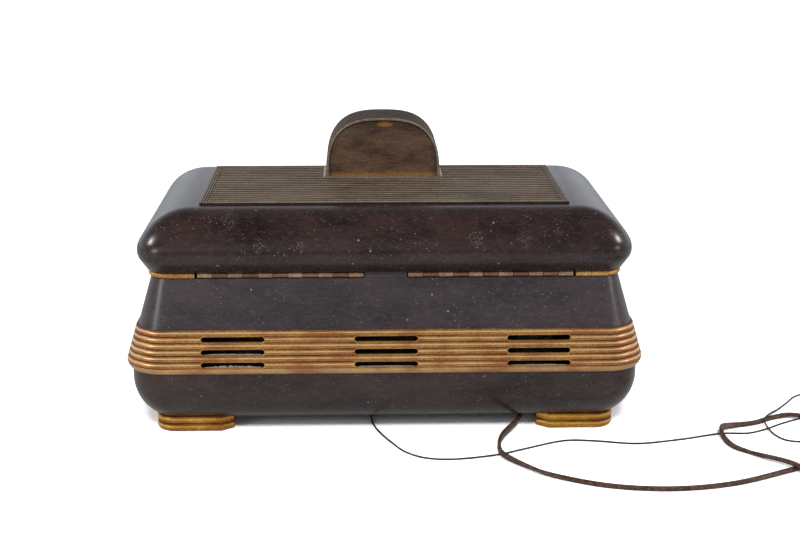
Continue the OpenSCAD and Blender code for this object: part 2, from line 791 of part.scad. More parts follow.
// Laminated transformer: core, coil and two clamps
module transformer(low, size) {
    lam = size[2] * 0.62;
    z0 = low[2] + (size[2] - lam) / 2;
    color(tin) block([low[0], low[1], z0], [low[0] + size[0], low[1] + size[1], z0 + lam]);
    color(paper) block([low[0] + size[0] * 0.2, low[1] + size[1] * 0.2, low[2]],
        [low[0] + size[0] * 0.8, low[1] + size[1] * 0.8, low[2] + size[2]]);
}

module output_transformer() {
    transformer([56, baffle_back_y, 60], [34, 28, 36]);
}

module chassis_pan() {
    hx = chassis_x1;
    lip = 12;
    color(tin) difference() {
        block([-hx, chassis_y0, chassis_z], [hx, chassis_y1, chassis_top_z]);
        block([chassis_t - hx, chassis_y0 + chassis_t, chassis_z + chassis_t],
            [hx - chassis_t, chassis_y1 - chassis_t, chassis_top_z - chassis_t]);
        block([lip - hx, chassis_y0 + lip, chassis_z - over],
            [hx - lip, chassis_y1 - lip, chassis_z + 2 * chassis_t]);
        for (p = chassis_screw_places())
            rod(p[0], p[1], chassis_z - over, chassis_z + chassis_t + over, small_screw_r + turn_gap);
    }
}

module chassis_screws() {
    color(steel) {
        for (p = chassis_screw_places()) {
            rod(p[0], p[1], plate_z - small_head_h, plate_z, small_head_r);
            rod(p[0], p[1], plate_z - 0.1, chassis_z + chassis_t + 4, small_screw_r);
        }
        for (p = plate_screw_places()) {
            rod(p[0], p[1], foot_h - small_head_h, foot_h, small_head_r);
            rod(p[0], p[1], foot_h - 0.1, plate_z + plate_t + 3, small_screw_r);
        }
    }
}

// Tubes and cans stand in two rows, in three columns beside the gang on the -X side and one on the other.
// The front row stands clear of the volume control above it.
skirt_r = tube_r + 2;
row_clear = 4.61;
row_front = drive_y + pot_r + tube_r + row_clear;
row_back = chassis_y1 - skirt_r - 2;
columns_from = gang_half_w + 4;
function column(k) = columns_from + (chassis_x1 - columns_from) * (k + 0.5) / 3;
tube_places = [[column(0), row_back], [column(0), row_front], [-column(0), row_front],
    [-column(1), row_back], [-column(2), row_front]];
can_places = [[-column(0), row_back], [-column(2), row_back]];
coil_place = [-column(1), row_front];
socket_h = 3;
skirt_h = 9;
module tube_sockets() {
    color(bakelite) for (p = tube_places) rod(p[0], p[1], chassis_top_z, chassis_top_z + socket_h, skirt_r);
}

can_wall = 1;
module metal_tubes() {
    z0 = chassis_top_z + socket_h;
    color(black) for (p = tube_places) difference() {
        union() {
            rod(p[0], p[1], z0, z0 + skirt_h, skirt_r);
            rod(p[0], p[1], z0 + skirt_h - 0.1, z0 + tube_h - 3, tube_r);
            translate([p[0], p[1], z0 + tube_h - 3.1]) cylinder(r1 = tube_r, r2 = tube_r - 4, h = 3.1);
        }
        rod(p[0], p[1], z0 + can_wall, z0 + tube_h - 5, tube_r - can_wall);
    }
}

module coil_cans() {
    half = can_w / 2;
    color(tin) {
        for (p = can_places) difference() {
            block([p[0] - half, p[1] - half, chassis_top_z], [p[0] + half, p[1] + half, chassis_top_z + can_h]);
            block([p[0] - half + can_wall, p[1] - half + can_wall, chassis_top_z - over],
                [p[0] + half - can_wall, p[1] + half - can_wall, chassis_top_z + can_h - can_wall]);
        }
        difference() {
            rod(coil_place[0], coil_place[1], chassis_top_z, chassis_top_z + can_h - 6, half);
            rod(coil_place[0], coil_place[1], chassis_top_z - over, chassis_top_z + can_h - 6 - can_wall,
                half - can_wall);
        }
    }
}

capacitor_x = chassis_x1 - capacitor_r - 8;
capacitor_y = chassis_y0 + capacitor_r + 6;
module filter_capacitor() {
    color(tin) {
        rod(capacitor_x, capacitor_y, chassis_top_z, chassis_top_z + tube_h, capacitor_r);
        rod(capacitor_x, capacitor_y, chassis_top_z, chassis_top_z + 3, capacitor_r + 1);
    }
}

module power_transformer() {
    low_y = capacitor_y + capacitor_r + 3;
    transformer([chassis_x1 - transformer_w - 3, low_y, chassis_top_z],
        [transformer_w, chassis_y1 - 5 - low_y, transformer_h]);
}

// Paper condensers and resistors hang under the chassis top
condenser_r = 6;
condenser_l = 30;
condenser_in = 10;
resistor_r = 3;
resistor_l = 20;
resistor_in = 8;
module under_chassis_parts() {
    z = chassis_top_z - chassis_t;
    module lying(x, y, r, l) {
        translate([x - l / 2, y, z - r]) rotate([0, 90, 0]) cylinder(r = r, h = l);
    }
    color(paper) for (k = [-2:2]) lying(0.31 * chassis_x1 * k, row_back - condenser_in, condenser_r, condenser_l);
    color(bakelite) for (k = [-2:3])
        lying(0.28 * chassis_x1 * k, row_front + resistor_in, resistor_r, resistor_l);
}

// Tapered grip under the floor, where the mains cord leaves
grip_x = -108;
grip_y = 60;
grip_z = 6.5;
grip_l = 26;
module cord_grip() {
    color(black) {
        translate([grip_x, grip_y - grip_l, grip_z]) rotate([-90, 0, 0]) cylinder(r1 = 5, r2 = 3.4, h = grip_l);
        block([grip_x - 5, grip_y - grip_l - 6, grip_z - 5], [grip_x + 5, grip_y - grip_l + 0.1, plate_z]);
    }
}

bush_x = 12;
bush_y = 48;
bush_z = 9;
module aerial_bush() {
    color(black) {
        translate([bush_x, bush_y - 8, bush_z]) rotate([-90, 0, 0]) cylinder(r = 2.6, h = 8);
        block([bush_x - 3, bush_y - 8, bush_z - 2], [bush_x + 3, bush_y - 3, plate_z]);
    }
}

// Lid: rounded rectangles drawn in from the nose, stacked by a section that is arcs and lines
nose_x = core_x + waist_r + nose_out;
nose_y = core_y + waist_r + nose_out;
nose_corner_r = waist_r + nose_out;
lid_wall = 1.6;
crown_r = (pow(crown_in - shoulder_r, 2) + pow(crown_h, 2) - pow(shoulder_r, 2)) / (2 * (crown_h - shoulder_r));
join_angle = atan2(crown_r - crown_h, crown_in - shoulder_r);
tuck_end = [tuck_r * (1 - cos(tuck_slope)), nose_z - tuck_r * sin(tuck_slope)];
edge_in = tuck_end[0] + (tuck_end[1] - lid_z) * tan(tuck_slope);

// Section points as [how far in from the nose, height], for a face drawn in by t
function lid_section(t) = concat(
    [[edge_in + t, lid_z + t]],
    [for (k = [0:3]) let (a = tuck_slope * (1 - k / 4), r = tuck_r - t)
        [tuck_r - r * cos(a), nose_z - r * sin(a)]],
    [for (k = [0:5]) let (a = join_angle * k / 6, r = shoulder_r - t)
        [shoulder_r - r * cos(a), nose_z + r * sin(a)]],
    [for (k = [0:6]) let (a = join_angle + (90 - join_angle) * k / 6, r = crown_r - t)
        [crown_in - r * cos(a), crown_z - crown_r + r * sin(a)]]);

// Corner radius of the plan at a distance in from the nose, below or above it
function lid_corner(q) = q[1] <= nose_z
    ? nose_corner_r - q[0]
    : max(0.6, nose_corner_r - q[0] * (nose_corner_r - crown_corner_r) / crown_in);

function lid_ring(q, n = 6) = let (r = lid_corner(q), x = nose_x - q[0] - r, y = nose_y - q[0] - r)
    [for (c = [0:3]) for (k = [0:n]) let (a = 90 * c + 90 * k / n)
        [(c == 0 || c == 3 ? x : -x) + r * cos(a), (c < 2 ? y : -y) + r * sin(a), q[1]]];

function reversed(v) = [for (k = [len(v) - 1:-1:0]) v[k]];

lid_flange_w = flange_w;
module lid_shell() {
    flange_in = edge_in + lid_flange_w;
    section = concat(
        reversed(lid_section(lid_wall)),
        [[flange_in, lid_z + lid_wall], [flange_in, lid_z]],
        lid_section(0));
    rings = [for (q = section) lid_ring(q)];
    n = len(rings[0]);
    last = len(rings) - 1;
    color(lacquer) difference() {
        polyhedron(
            [for (r = rings) for (p = r) p],
            concat(
                [[for (k = [n - 1:-1:0]) k]],
                [for (i = [0:last - 1]) for (k = [0:n - 1]) for (f = [
                    [i * n + k, i * n + (k + 1) % n, (i + 1) * n + (k + 1) % n],
                    [i * n + k, (i + 1) * n + (k + 1) % n, (i + 1) * n + k]]) reversed(f)],
                [[for (k = [0:n - 1]) last * n + k]]));
        for (s = [-1, 1]) for (x = hinge_screw_xs(0.25))
            rod(s * x, hinge_screw_y, lid_z - over, lid_z + lid_wall + over, small_screw_r + turn_gap);
        for (x = crest_screw_xs) rod(x, crest_screw_y, crown_z - 2 * lid_wall, crown_z + over, screw_r + turn_gap);
    }
}

// Panel: a border and shallow reeds that run along it
border_w = 6;
reed_low = 1;
module lid_panel() {
    hx = panel_w / 2;
    hy = panel_d / 2;
    inner = panel_d - 2 * border_w;
    pitch = inner / panel_reeds;
    section = concat(
        [for (r = [0:panel_reeds - 1]) for (k = [0:3])
            let (a = 45 * k) [-hy + border_w + pitch * (r + k / 4), reed_low + (panel_t - reed_low - 0.1) * sin(a)]],
        [[hy - border_w, reed_low], [hy - border_w, 0], [border_w - hy, 0]]);
    color(bronze) difference() {
        union() {
            translate([border_w - hx, panel_y, crown_z]) rotate([90, 0, 90])
                linear_extrude(panel_w - 2 * border_w) polygon(section);
            difference() {
                block([-hx, panel_y - hy, crown_z], [hx, panel_y + hy, panel_z]);
                block([border_w - hx, panel_y - hy + border_w, crown_z - over],
                    [hx - border_w, panel_y + hy - border_w, panel_z + over]);
            }
        }
        translate([0, crest_back_y + face_gap, crown_z - over]) rotate([90, 0, 0])
            linear_extrude(crest_d - crest_front_t + 2 * face_gap)
                square([crest_w + 2 * face_gap, 2 * (panel_t + 2 * over)], center = true);
    }
}

// Crest: a reeded arch over a hollow, on two bosses
crest_screw_xs = [-28, 28];
crest_screw_y = crest_back_y - crest_d / 2;
boss_r = 5;
boss_h = 16;
crest_floor = 2;
module upright_arch(half_w, h, y_back, depth, z) {
    translate([0, y_back, z]) rotate([90, 0, 0]) linear_extrude(depth) polygon(arch(half_w, h));
}

module crest_shell() {
    depth = crest_d - crest_front_t;
    pitch = depth / crest_reeds;
    h = crest_h + panel_t;
    groove = 0.5;
    edge = 0.6;
    inner_h = h - crest_wall - crest_floor;
    color(bronze) difference() {
        union() {
            difference() {
                union() {
                    upright_arch(crest_w / 2 - groove, h - groove, crest_back_y, depth, crown_z);
                    for (k = [0:crest_reeds - 1])
                        upright_arch(crest_w / 2, h, crest_back_y - k * pitch - edge, pitch - 2 * edge, crown_z);
                }
                upright_arch(crest_w / 2 - crest_wall, inner_h, crest_back_y + over,
                    depth - crest_wall + over, crown_z + crest_floor);
            }
            for (x = crest_screw_xs) rod(x, crest_screw_y, crown_z, crown_z + boss_h, boss_r);
        }
        for (x = crest_screw_xs) rod(x, crest_screw_y, crown_z - over, crown_z + boss_h - 2, screw_r + turn_gap);
    }
}

back_plate_in = 1.6;
back_plate_t = 1.5;
module crest_back_plate() {
    h = crest_h + panel_t - crest_wall - crest_floor;
    color(bronze) upright_arch(crest_w / 2 - crest_wall - turn_gap, h - turn_gap,
        crest_back_y - back_plate_in, back_plate_t, crown_z + crest_floor);
}

module crest_front_plate() {
    inset = 5;
    flutes = 7;
    flute_step = 9;
    h = crest_h - inset;
    color(gilt) difference() {
        upright_arch(crest_w / 2 - inset, h, crest_front_y, crest_front_t, panel_z + 2);
        for (k = [0:flutes - 1])
            translate([(k - (flutes - 1) / 2) * flute_step, crest_front_y - crest_front_t, panel_z + 6])
                cylinder(r = 0.7, h = h);
    }
}

module crest_screws() {
    z0 = crown_z - lid_wall;
    color(steel) for (x = crest_screw_xs) {
        rod(x, crest_screw_y, z0 - screw_head_h, z0, screw_head_r);
        rod(x, crest_screw_y, z0 - 0.1, crown_z + boss_h - 3, screw_r);
    }
    color(brass) for (s = [-1, 1]) for (x = hinge_screw_xs(0.25)) {
        z1 = lid_z - leaf_t;
        rod(s * x, hinge_screw_y, z1 - small_head_h, z1, small_head_r);
        rod(s * x, hinge_screw_y, z1 - 0.1, lid_z + lid_wall + 2, small_screw_r);
    }
}

// Cords: each route point is [x, y, z, tilt], with tilt 90 where the flat cord lies on its edge
mains_route = [
    [-108, 60, 6.5, 90], [-108, 70, 6.5, 90], [-106, 83, 6, 90], [-101, 97, 5.4, 90],
    [-86, 129, 4.6, 90], [-84, 156, 4.4, 90], [-92, 169, 3.8, 70], [-104, 181, 2.8, 40],
    [-119, 192, 1.8, 10], [-155, 209, 1.4, 0], [-198, 215, 1.4, 0], [-241, 208, 1.4, 0],
    [-281, 190, 1.4, 0], [-312, 172, 1.4, 0], [-339, 143, 2.2, 0],
    [-344, 125, 3.1, 0], [-342, 106, 2.6, 0], [-333, 91, 3.2, 0], [-319, 83, 2.8, 0],
    [-304, 86, 1.4, 0], [-288, 96, 1.6, 0], [-272, 102, 2.4, 15], [-261, 108, 3.8, 50],
    [-256, 118, 4.8, 85], [-256, 131, 3, 90], [-260, 145, 2.4, 65], [-271, 155, 1.8, 20],
    [-293, 181, 4.4, 0], [-302, 197, 3.4, 0], [-315, 209, 1.5, 0], [-334, 214, 1.4, 0],
    [-358, 210, 1.4, 0]];
aerial_route = [
    [12, 48, 9, 0], [12, 51, 9, 0], [12, 58, 6.6, 0], [12, 65, 3, 0], [11.5, 73, 1, 0],
    [10, 88, 0.75, 0], [5, 106, 0.75, 0], [-4, 127, 0.75, 0], [-14, 145, 0.75, 0], [-28, 156, 0.75, 0],
    [-47, 159, 0.75, 0], [-83, 151, 0.75, 0], [-101, 142, 0.75, 0], [-136, 126, 0.75, 0],
    [-156, 127, 0.75, 0], [-189, 133, 0.75, 0], [-223, 126, 0.75, 0], [-259, 115, 0.75, 0],
    [-278, 115, 0.75, 0], [-293, 108, 0.75, 0], [-310, 96, 0.75, 0], [-340, 78, 0.75, 0],
    [-353, 66, 0.75, 0], [-360, 51, 0.75, 0], [-357, 38, 0.75, 0], [-348, 33, 0.75, 0],
    [-338, 38, 0.75, 0], [-326, 53, 0.75, 0], [-314, 70, 2.2, 0], [-303, 84, 3.9, 0],
    [-296, 95, 3.9, 0], [-295, 107, 2.6, 0], [-297, 119, 1.4, 0], [-303, 129, 0.75, 0],
    [-315, 133, 0.75, 0], [-330, 132, 0.75, 0], [-346, 127, 0.75, 0], [-360, 122.5, 0.75, 0]];
coil_gap = 0.45;
cord_floor_z = 1.4;
mains_coil_at = [-382, 168];
mains_coil_r = 28;
mains_coil_turns = 3;
mains_coil_layers = 2;
wire_floor_z = 0.75;
aerial_coil_at = [-373, 110];
aerial_coil_r = 7.7;
aerial_coil_turns = 4;
aerial_coil_layers = 4;
coil_rings = 24;
tail_route = [[-398, 204.6, 4.6, 0], [-409, 208, 5.4, 0], [-414, 217, 7.2, 0], [-412, 225, 9.4, 0],
    [-406, 227.5, 10.5, 0]];
plug_at = [-399, 227.5, 10.5];

function unit(v) = v / norm(v);
function place(q) = [q[0], q[1], q[2]];
function heading(route, i) =
    unit(place(route[min(i + 1, len(route) - 1)]) - place(route[max(i - 1, 0)]));

// Ring of points round one route point, w wide and t thick
function cord_ring(q, way, w, t, n) = let (side = unit(cross(way, [0, 0, 1])), up = cross(side, way))
    [for (k = [0:n - 1]) let (a = 360 * k / n, u = w / 2 * cos(a), v = t / 2 * sin(a))
        place(q) + side * (u * cos(q[3]) - v * sin(q[3])) + up * (u * sin(q[3]) + v * cos(q[3]))];

module tube(route, w, t, n) {
    last = len(route) - 1;
    polyhedron(
        [for (i = [0:last]) for (p = cord_ring(route[i], heading(route, i), w, t, n)) p],
        concat(
            [[for (k = [n - 1:-1:0]) k]],
            [for (i = [0:last - 1]) for (k = [0:n - 1]) for (f = [
                [i * n + k, i * n + (k + 1) % n, (i + 1) * n + (k + 1) % n],
                [i * n + k, (i + 1) * n + (k + 1) % n, (i + 1) * n + k]]) f],
            [[for (k = [0:n - 1]) last * n + k]]));
}

// Radius offset and height of a wound cord after s turns. It spirals in and out,
// and climbs one layer in the half turn round each place where it reverses.
function spiral_in(s, turns) = let (layer = floor(s / turns), u = s - layer * turns)
    layer % 2 == 0 ? turns / 2 - u : u - turns / 2;
function climbed(s, turns, layers) =
    [for (k = [1:1:layers - 1]) min(1, max(0, 2 * (s - k * turns) + 0.5))] * [for (k = [1:1:layers - 1]) 1];
function coil_route(at, r, turns, layers, w, t, z0) = let (total = turns * layers)
    [for (i = [0:total * coil_rings]) let (
            s = i / coil_rings,
            out = r + (w + coil_gap) * spiral_in(min(s, total - 0.0001), turns),
            a = 90 + 360 * s)
        [at[0] + out * cos(a), at[1] + out * sin(a), z0 + (t + coil_gap) * climbed(s, turns, layers), 0]];

// The coil's two ends run straight for one width, along -X
function with_ends(turns_route, w) = concat(
    [turns_route[0] + [w, 0, 0, 0]], turns_route, [turns_route[len(turns_route) - 1] - [w, 0, 0, 0]]);

mains_coil_route = with_ends(coil_route(mains_coil_at, mains_coil_r, mains_coil_turns, mains_coil_layers,
    cord_w, cord_t, cord_floor_z), cord_w);
aerial_coil_route = with_ends(coil_route(aerial_coil_at, aerial_coil_r, aerial_coil_turns,
    aerial_coil_layers, wire_d, wire_d, wire_floor_z), wire_d);

// Least gap of a coil to itself, between points at least half a turn apart
function across(v, w, t) = let (u = unit(v)) 1 / sqrt(pow(2 * norm([u[0], u[1]]) / w, 2) + pow(2 * u[2] / t, 2));
function least_gap(route, w, t) = min([
    for (i = [0:len(route) - 1]) for (j = [i + coil_rings / 2:1:len(route) - 1])
        let (v = place(route[i]) - place(route[j])) norm(v) - 2 * across(v, w, t)]);
function route_length(route) =
    [for (i = [1:len(route) - 1]) norm(place(route[i]) - place(route[i - 1]))] * [for (i = [1:len(route) - 1]) 1];

// A free stretch comes to its coil straight, through one more point
function into_coil(route, coil, w) = concat(route, [coil[0] + [2 * w, 0, 0, 0], coil[0]]);

// Its second stretch goes from the coil to the plug
module mains_cord() {
    end = mains_coil_route[len(mains_coil_route) - 1];
    color(bakelite) {
        tube(into_coil(mains_route, mains_coil_route, cord_w), cord_w, cord_t, 10);
        tube(concat([end], tail_route, [concat(plug_at, [0])]), cord_w, cord_t, 10);
    }
}

module mains_coil() {
    echo("least gap of the mains coil", least_gap(mains_coil_route, cord_w, cord_t));
    color(bakelite) tube(mains_coil_route, cord_w, cord_t, 6);
}

plug_r = 10.5;
plug_l = 26;
blade = [17, 1.5, 6.3];
blade_step = 12.7;
module mains_plug() {
    color(black) {
        translate(plug_at) rotate([0, 90, 0]) cylinder(r1 = 4.5, r2 = 8, h = 8);
        translate(plug_at + [7.9, 0, 0]) rotate([0, 90, 0]) cylinder(r = plug_r, h = plug_l - 8);
    }
    color(brass) for (s = [-1, 1])
        translate(plug_at + [plug_l - 0.2, s * blade_step / 2 - blade[1] / 2, -blade[2] / 2]) cube(blade);
}

module aerial_wire() {
    color(black) tube(into_coil(aerial_route, aerial_coil_route, wire_d), wire_d, wire_d, 8);
}

module aerial_coil() {
    echo("least gap of the aerial coil", least_gap(aerial_coil_route, wire_d, wire_d));
    color(black) tube(aerial_coil_route, wire_d, wire_d, 6);
}

echo("mains cord", route_length(mains_route) + route_length(mains_coil_route) + route_length(tail_route),
    "aerial wire", route_length(aerial_route) + route_length(aerial_coil_route));

upper_body();
ribbed_band();
lower_bowl();
rim_moulding();
bottom_plate();
foot_back_left();
foot_back_right();
foot_front_left();
foot_front_right();
corner_posts();
foot_screws();
hinge_base_left();
hinge_base_right();
hinge_pins();
hinge_base_screws();
control_deck();
deck_screws();
rim_bumpers();
dial_escutcheon();
dial_window();
dial_disc();
gang_frame();
gang_stator();
gang_rotor();
tuning_knob();
tuning_shaft();
tuning_bush();
drive_bracket();
volume_knob();
volume_shaft();
volume_control();
speaker_baffle();
grille_cloth();
speaker_basket();
speaker_cone();
speaker_magnet();
output_transformer();
chassis_pan();
tube_sockets();
metal_tubes();
coil_cans();
filter_capacitor();
power_transformer();
under_chassis_parts();
chassis_screws();
cord_grip();
aerial_bush();
lid_shell();
lid_panel();
crest_shell();
crest_back_plate();
crest_front_plate();
crest_screws();
hinge_lid_left();
hinge_lid_right();
mains_cord();
mains_coil();
mains_plug();
aerial_wire();
aerial_coil();
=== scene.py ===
# %% [markdown]
# # A table radio in a metal chest
# The radio is seen from behind: a lid with long hinges, a flared body, a ribbed band with air slots, a bowl
# and four block feet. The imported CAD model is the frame. It says where each piece is and what moves, so
# this lesson only adds what CAD leaves out: fine shapes, finishes, light and a camera.

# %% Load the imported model
import json
import math
import random

import bmesh
import bpy
from mathutils import Matrix, Vector

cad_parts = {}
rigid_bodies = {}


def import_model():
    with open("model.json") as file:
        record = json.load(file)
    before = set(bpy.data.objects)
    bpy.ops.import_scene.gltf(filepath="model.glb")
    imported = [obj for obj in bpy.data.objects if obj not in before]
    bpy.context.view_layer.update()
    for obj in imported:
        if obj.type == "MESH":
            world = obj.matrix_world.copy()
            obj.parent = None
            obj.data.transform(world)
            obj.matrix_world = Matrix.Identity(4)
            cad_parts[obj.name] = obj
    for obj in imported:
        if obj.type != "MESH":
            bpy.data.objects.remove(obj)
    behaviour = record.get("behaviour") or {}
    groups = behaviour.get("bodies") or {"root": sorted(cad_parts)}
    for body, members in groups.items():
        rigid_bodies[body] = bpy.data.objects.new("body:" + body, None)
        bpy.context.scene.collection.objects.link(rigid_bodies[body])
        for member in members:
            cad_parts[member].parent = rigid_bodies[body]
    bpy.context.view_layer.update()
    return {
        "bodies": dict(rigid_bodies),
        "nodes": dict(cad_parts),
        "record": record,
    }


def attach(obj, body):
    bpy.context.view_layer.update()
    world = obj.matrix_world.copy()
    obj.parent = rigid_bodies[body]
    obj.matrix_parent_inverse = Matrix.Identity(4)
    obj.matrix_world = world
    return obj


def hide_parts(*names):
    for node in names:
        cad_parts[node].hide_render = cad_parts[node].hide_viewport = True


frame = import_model()
scene = bpy.context.scene
MM = 0.001
print("bodies:", ", ".join(sorted(frame["bodies"])))
print("nodes:", len(frame["nodes"]))

# %% [markdown]
# ## Camera
# The viewing angle was worked out from straight edges of the case. A camera could also be aimed by hand
# with a Track To constraint, but written angles give the same view in every run. Blender wants three axes:
# right, up and back.

# %% Place the camera
camera_place = Vector((0.01891, 1.10721, 0.41609))
camera_pitch = 0.2759
camera_yaw = 0.0293
camera_roll = 0.0020
ahead = Vector((
    -math.sin(camera_yaw) * math.cos(camera_pitch),
    -math.cos(camera_yaw) * math.cos(camera_pitch),
    -math.sin(camera_pitch),
))
level_right = Vector((-math.cos(camera_yaw), math.sin(camera_yaw), 0))
level_up = level_right.cross(ahead)
right = level_right * math.cos(camera_roll) + level_up * math.sin(camera_roll)
up = right.cross(ahead)
camera = bpy.data.objects.new("camera", bpy.data.cameras.new("camera"))
scene.collection.objects.link(camera)
camera.data.lens = 63
camera.data.sensor_width = 36
camera.matrix_world = Matrix.Translation(camera_place) @ Matrix((right, up, -ahead)).transposed().to_4x4()
scene.camera = camera
print("camera looks along", [round(a, 3) for a in ahead])

# %% [markdown]
# ## Shader maths
# A finish is a small network of nodes. Written by hand, each sum or product would be a node and two links.
# Here one class wraps a socket, so that a mask can be written as an expression, and one method makes every
# other node.

# %% A wire that can be added and multiplied
class Wire:
    """A node's output socket that takes part in Python expressions."""

    def __init__(self, finish, socket):
        self.finish = finish
        self.socket = socket

    def maths(self, operation, other=None, swapped=False):
        kind = "ShaderNodeVectorMath" if self.socket.type == "VECTOR" else "ShaderNodeMath"
        pair = [self] if other is None else [self, other]
        if swapped:
            pair.reverse()
        return self.finish.node(kind, {"operation": operation}, dict(enumerate(pair)))

    def __add__(self, other):
        return self.maths("ADD", other)

    def __radd__(self, other):
        return self.maths("ADD", other)

    def __sub__(self, other):
        return self.maths("SUBTRACT", other)

    def __rsub__(self, other):
        return self.maths("SUBTRACT", other, swapped=True)

    def __mul__(self, other):
        return self.maths("MULTIPLY", other)

    def __rmul__(self, other):
        return self.maths("MULTIPLY", other)

    def __truediv__(self, other):
        return self.maths("DIVIDE", other)

    def __pow__(self, other):
        return self.maths("POWER", other)

    def __gt__(self, other):
        return self.maths("GREATER_THAN", other)

    def __abs__(self):
        return self.maths("ABSOLUTE")


print("wires take part in sums, products, powers and comparisons")

# %% [markdown]
# ## Finishes
# Each finish is one material with a Principled shader. Patterns are read in millimetres of the object
# itself, so a streak of half a millimetre is written as one, and it stays on its piece when the lid opens.

# %% A finish and its few helpers
def tint(red, green, blue):
    """A colour as read on a screen, 0 to 255, turned into the linear values that a shader takes."""
    parts = [part / 255 for part in (red, green, blue)]
    return tuple(p / 12.92 if p <= 0.04045 else ((p + 0.055) / 1.055) ** 2.4 for p in parts) + (1.0,)


class Finish:
    """A material, with one method that makes any node."""

    def __init__(self, name, tree=None):
        if tree is None:
            self.material = bpy.data.materials.new(name)
            self.material.use_nodes = True
            tree = self.material.node_tree
            self.shader = tree.nodes["Principled BSDF"]
        self.tree = tree

    def node(self, kind, settings=None, inputs=None, output=0):
        """Makes a node, sets its settings and then its sockets, and returns one of its outputs."""
        node = self.tree.nodes.new(kind)
        for key, value in (settings or {}).items():
            setattr(node, key, value)
        for key, value in (inputs or {}).items():
            self.join(node.inputs[key], value)
        return Wire(self, node.outputs[output])

    def join(self, socket, value):
        if isinstance(value, Wire):
            self.tree.links.new(value.socket, socket)
        else:
            socket.default_value = value

    def set(self, **values):
        """Sets or feeds sockets of the shader. base_color stands for Base Color."""
        for key, value in values.items():
            name = {"ior_level": "Specular IOR Level"}.get(key, key.replace("_", " ").title())
            self.join(self.shader.inputs[name], value)

    def millimetres(self, stretch=(1, 1, 1)):
        place = self.node("ShaderNodeTexCoord", output="Object")
        return place * tuple(1000 * s for s in stretch)

    def axis(self, which):
        return self.node("ShaderNodeSeparateXYZ", {}, {0: self.millimetres()}, which)

    def noise(self, size, stretch=(1, 1, 1), detail=3.0, roughness=0.55, shift=0.0):
        """Smooth noise from 0 to 1 whose spots are about size millimetres across."""
        place = self.millimetres(tuple(s / size for s in stretch)) + (shift, 0.7 * shift, 1.3 * shift)
        return self.node("ShaderNodeTexNoise", {}, {"Vector": place, "Scale": 1.0, "Detail": detail,
                                                   "Roughness": roughness})

    def ramp(self, value, low, high):
        """0 below low, 1 above high, and smooth between."""
        return self.node("ShaderNodeMapRange", {"interpolation_type": "SMOOTHSTEP"},
                         {"Value": value, "From Min": low, "From Max": high})

    def mix(self, first, second, factor):
        """Goes from the first colour to the second as the factor goes from 0 to 1."""
        return self.node("ShaderNodeMix", {"data_type": "RGBA"}, {0: factor, 6: first, 7: second}, 2)

    def fraction(self, value):
        return value.maths("FRACT")

    def bump(self, height, distance):
        """Raises the surface by height times distance, in millimetres."""
        return self.node("ShaderNodeBump", {}, {"Height": height, "Distance": distance * MM, "Strength": 1.0})

    def cells(self, size, shift):
        """Distance to the nearest of scattered points, which are about size millimetres apart."""
        place = self.millimetres((1 / size,) * 3) + (shift, 1.7 * shift, 0.4 * shift)
        inputs = {"Vector": place, "Scale": 1.0}
        return self.node("ShaderNodeTexVoronoi", {"feature": "F1"}, inputs, "Distance")


print("shader helpers ready")

# %% [markdown]
# ## Light
# The picture was taken on a white sweep in a bright room. The world is plain white where the camera or
# glass looks at it, and otherwise a soft sky, a little blue: bright to the sides and ahead, dimmer
# overhead, and with a window behind the camera that is brighter on its left. The dark lacquer takes its
# sheen from that. A sun with a wide disc shines from behind the camera and lights the whole sweep evenly,
# which a lamp close to the case can't do. Two soft boxes light the case's ends from lower down, and two
# small lamps put a sharp light on its round corners.

# %% Make the world
scene.view_settings.view_transform = "Standard"
world = bpy.data.worlds.new("studio")
scene.world = world
world.use_nodes = True
sky = Finish("sky", world.node_tree)
look = sky.node("ShaderNodeTexCoord", output="Generated")
look_x, look_y, look_z = [sky.node("ShaderNodeSeparateXYZ", {}, {0: look}, k) for k in range(3)]
sides = sky.ramp(abs(look_x), 0.25, 0.95)
beyond = sky.ramp(look_y, 0.1, -0.7)
low = sky.ramp(look_z, 0.62, 0.1)
to_left = sky.ramp(look_x, -0.02, 0.16)
window = sky.ramp(look_y, 0.5, 0.9) * (0.45 + 0.55 * to_left) * sky.ramp(look_z, 0.18, 0.30)
overhead_level = 0.13
side_level = 0.38
far_level = 0.90
window_level = 0.62
level = overhead_level + side_level * sides * low + far_level * beyond * low + window_level * window
through = sky.node("ShaderNodeLightPath", output="Is Transmission Ray")
ray = sky.node("ShaderNodeLightPath", output="Is Camera Ray").maths("MAXIMUM", through)
background = world.node_tree.nodes["Background"]
sky.join(background.inputs["Color"], sky.mix((0.90, 0.97, 1.06, 1), (1, 1, 1, 1), ray))
sky.join(background.inputs["Strength"], ray + (1 - ray) * level)


def hang(name, kind, place, aim, power, visible=True):
    """A lamp at a place that shines at a point."""
    lamp = bpy.data.lights.new(name, kind)
    lamp.energy = power
    holder = bpy.data.objects.new(name, lamp)
    holder.location = place
    holder.rotation_euler = (Vector(aim) - Vector(place)).to_track_quat("-Z", "Y").to_euler()
    holder.visible_glossy = visible
    scene.collection.objects.link(holder)
    return lamp


case_middle = (0, 0, 0.1)


def soft_box(name, place, width, height, power):
    """A lamp with a face of width by height metres that shines at the case."""
    lamp = hang(name, "AREA", place, case_middle, power)
    lamp.shape = "RECTANGLE"
    lamp.size = width
    lamp.size_y = height


soft_box("left_box", (1.12, 0.90, 0.50), 0.34, 0.22, 2.6)
soft_box("right_box", (-1.24, 0.66, 0.50), 0.26, 0.22, 1.6)
soft_box("left_star", (1.35, 0.05, 1.05), 0.07, 0.07, 6.5)
soft_box("right_star", (-1.35, 0.05, 1.05), 0.07, 0.07, 6.5)
sun = hang("sun", "SUN", (0, 1.35, 1.45), (0, 0, 0), 2.6, False)
sun.angle = math.radians(14)
print("lamps:", ", ".join(o.name for o in scene.objects if o.type == "LIGHT"))

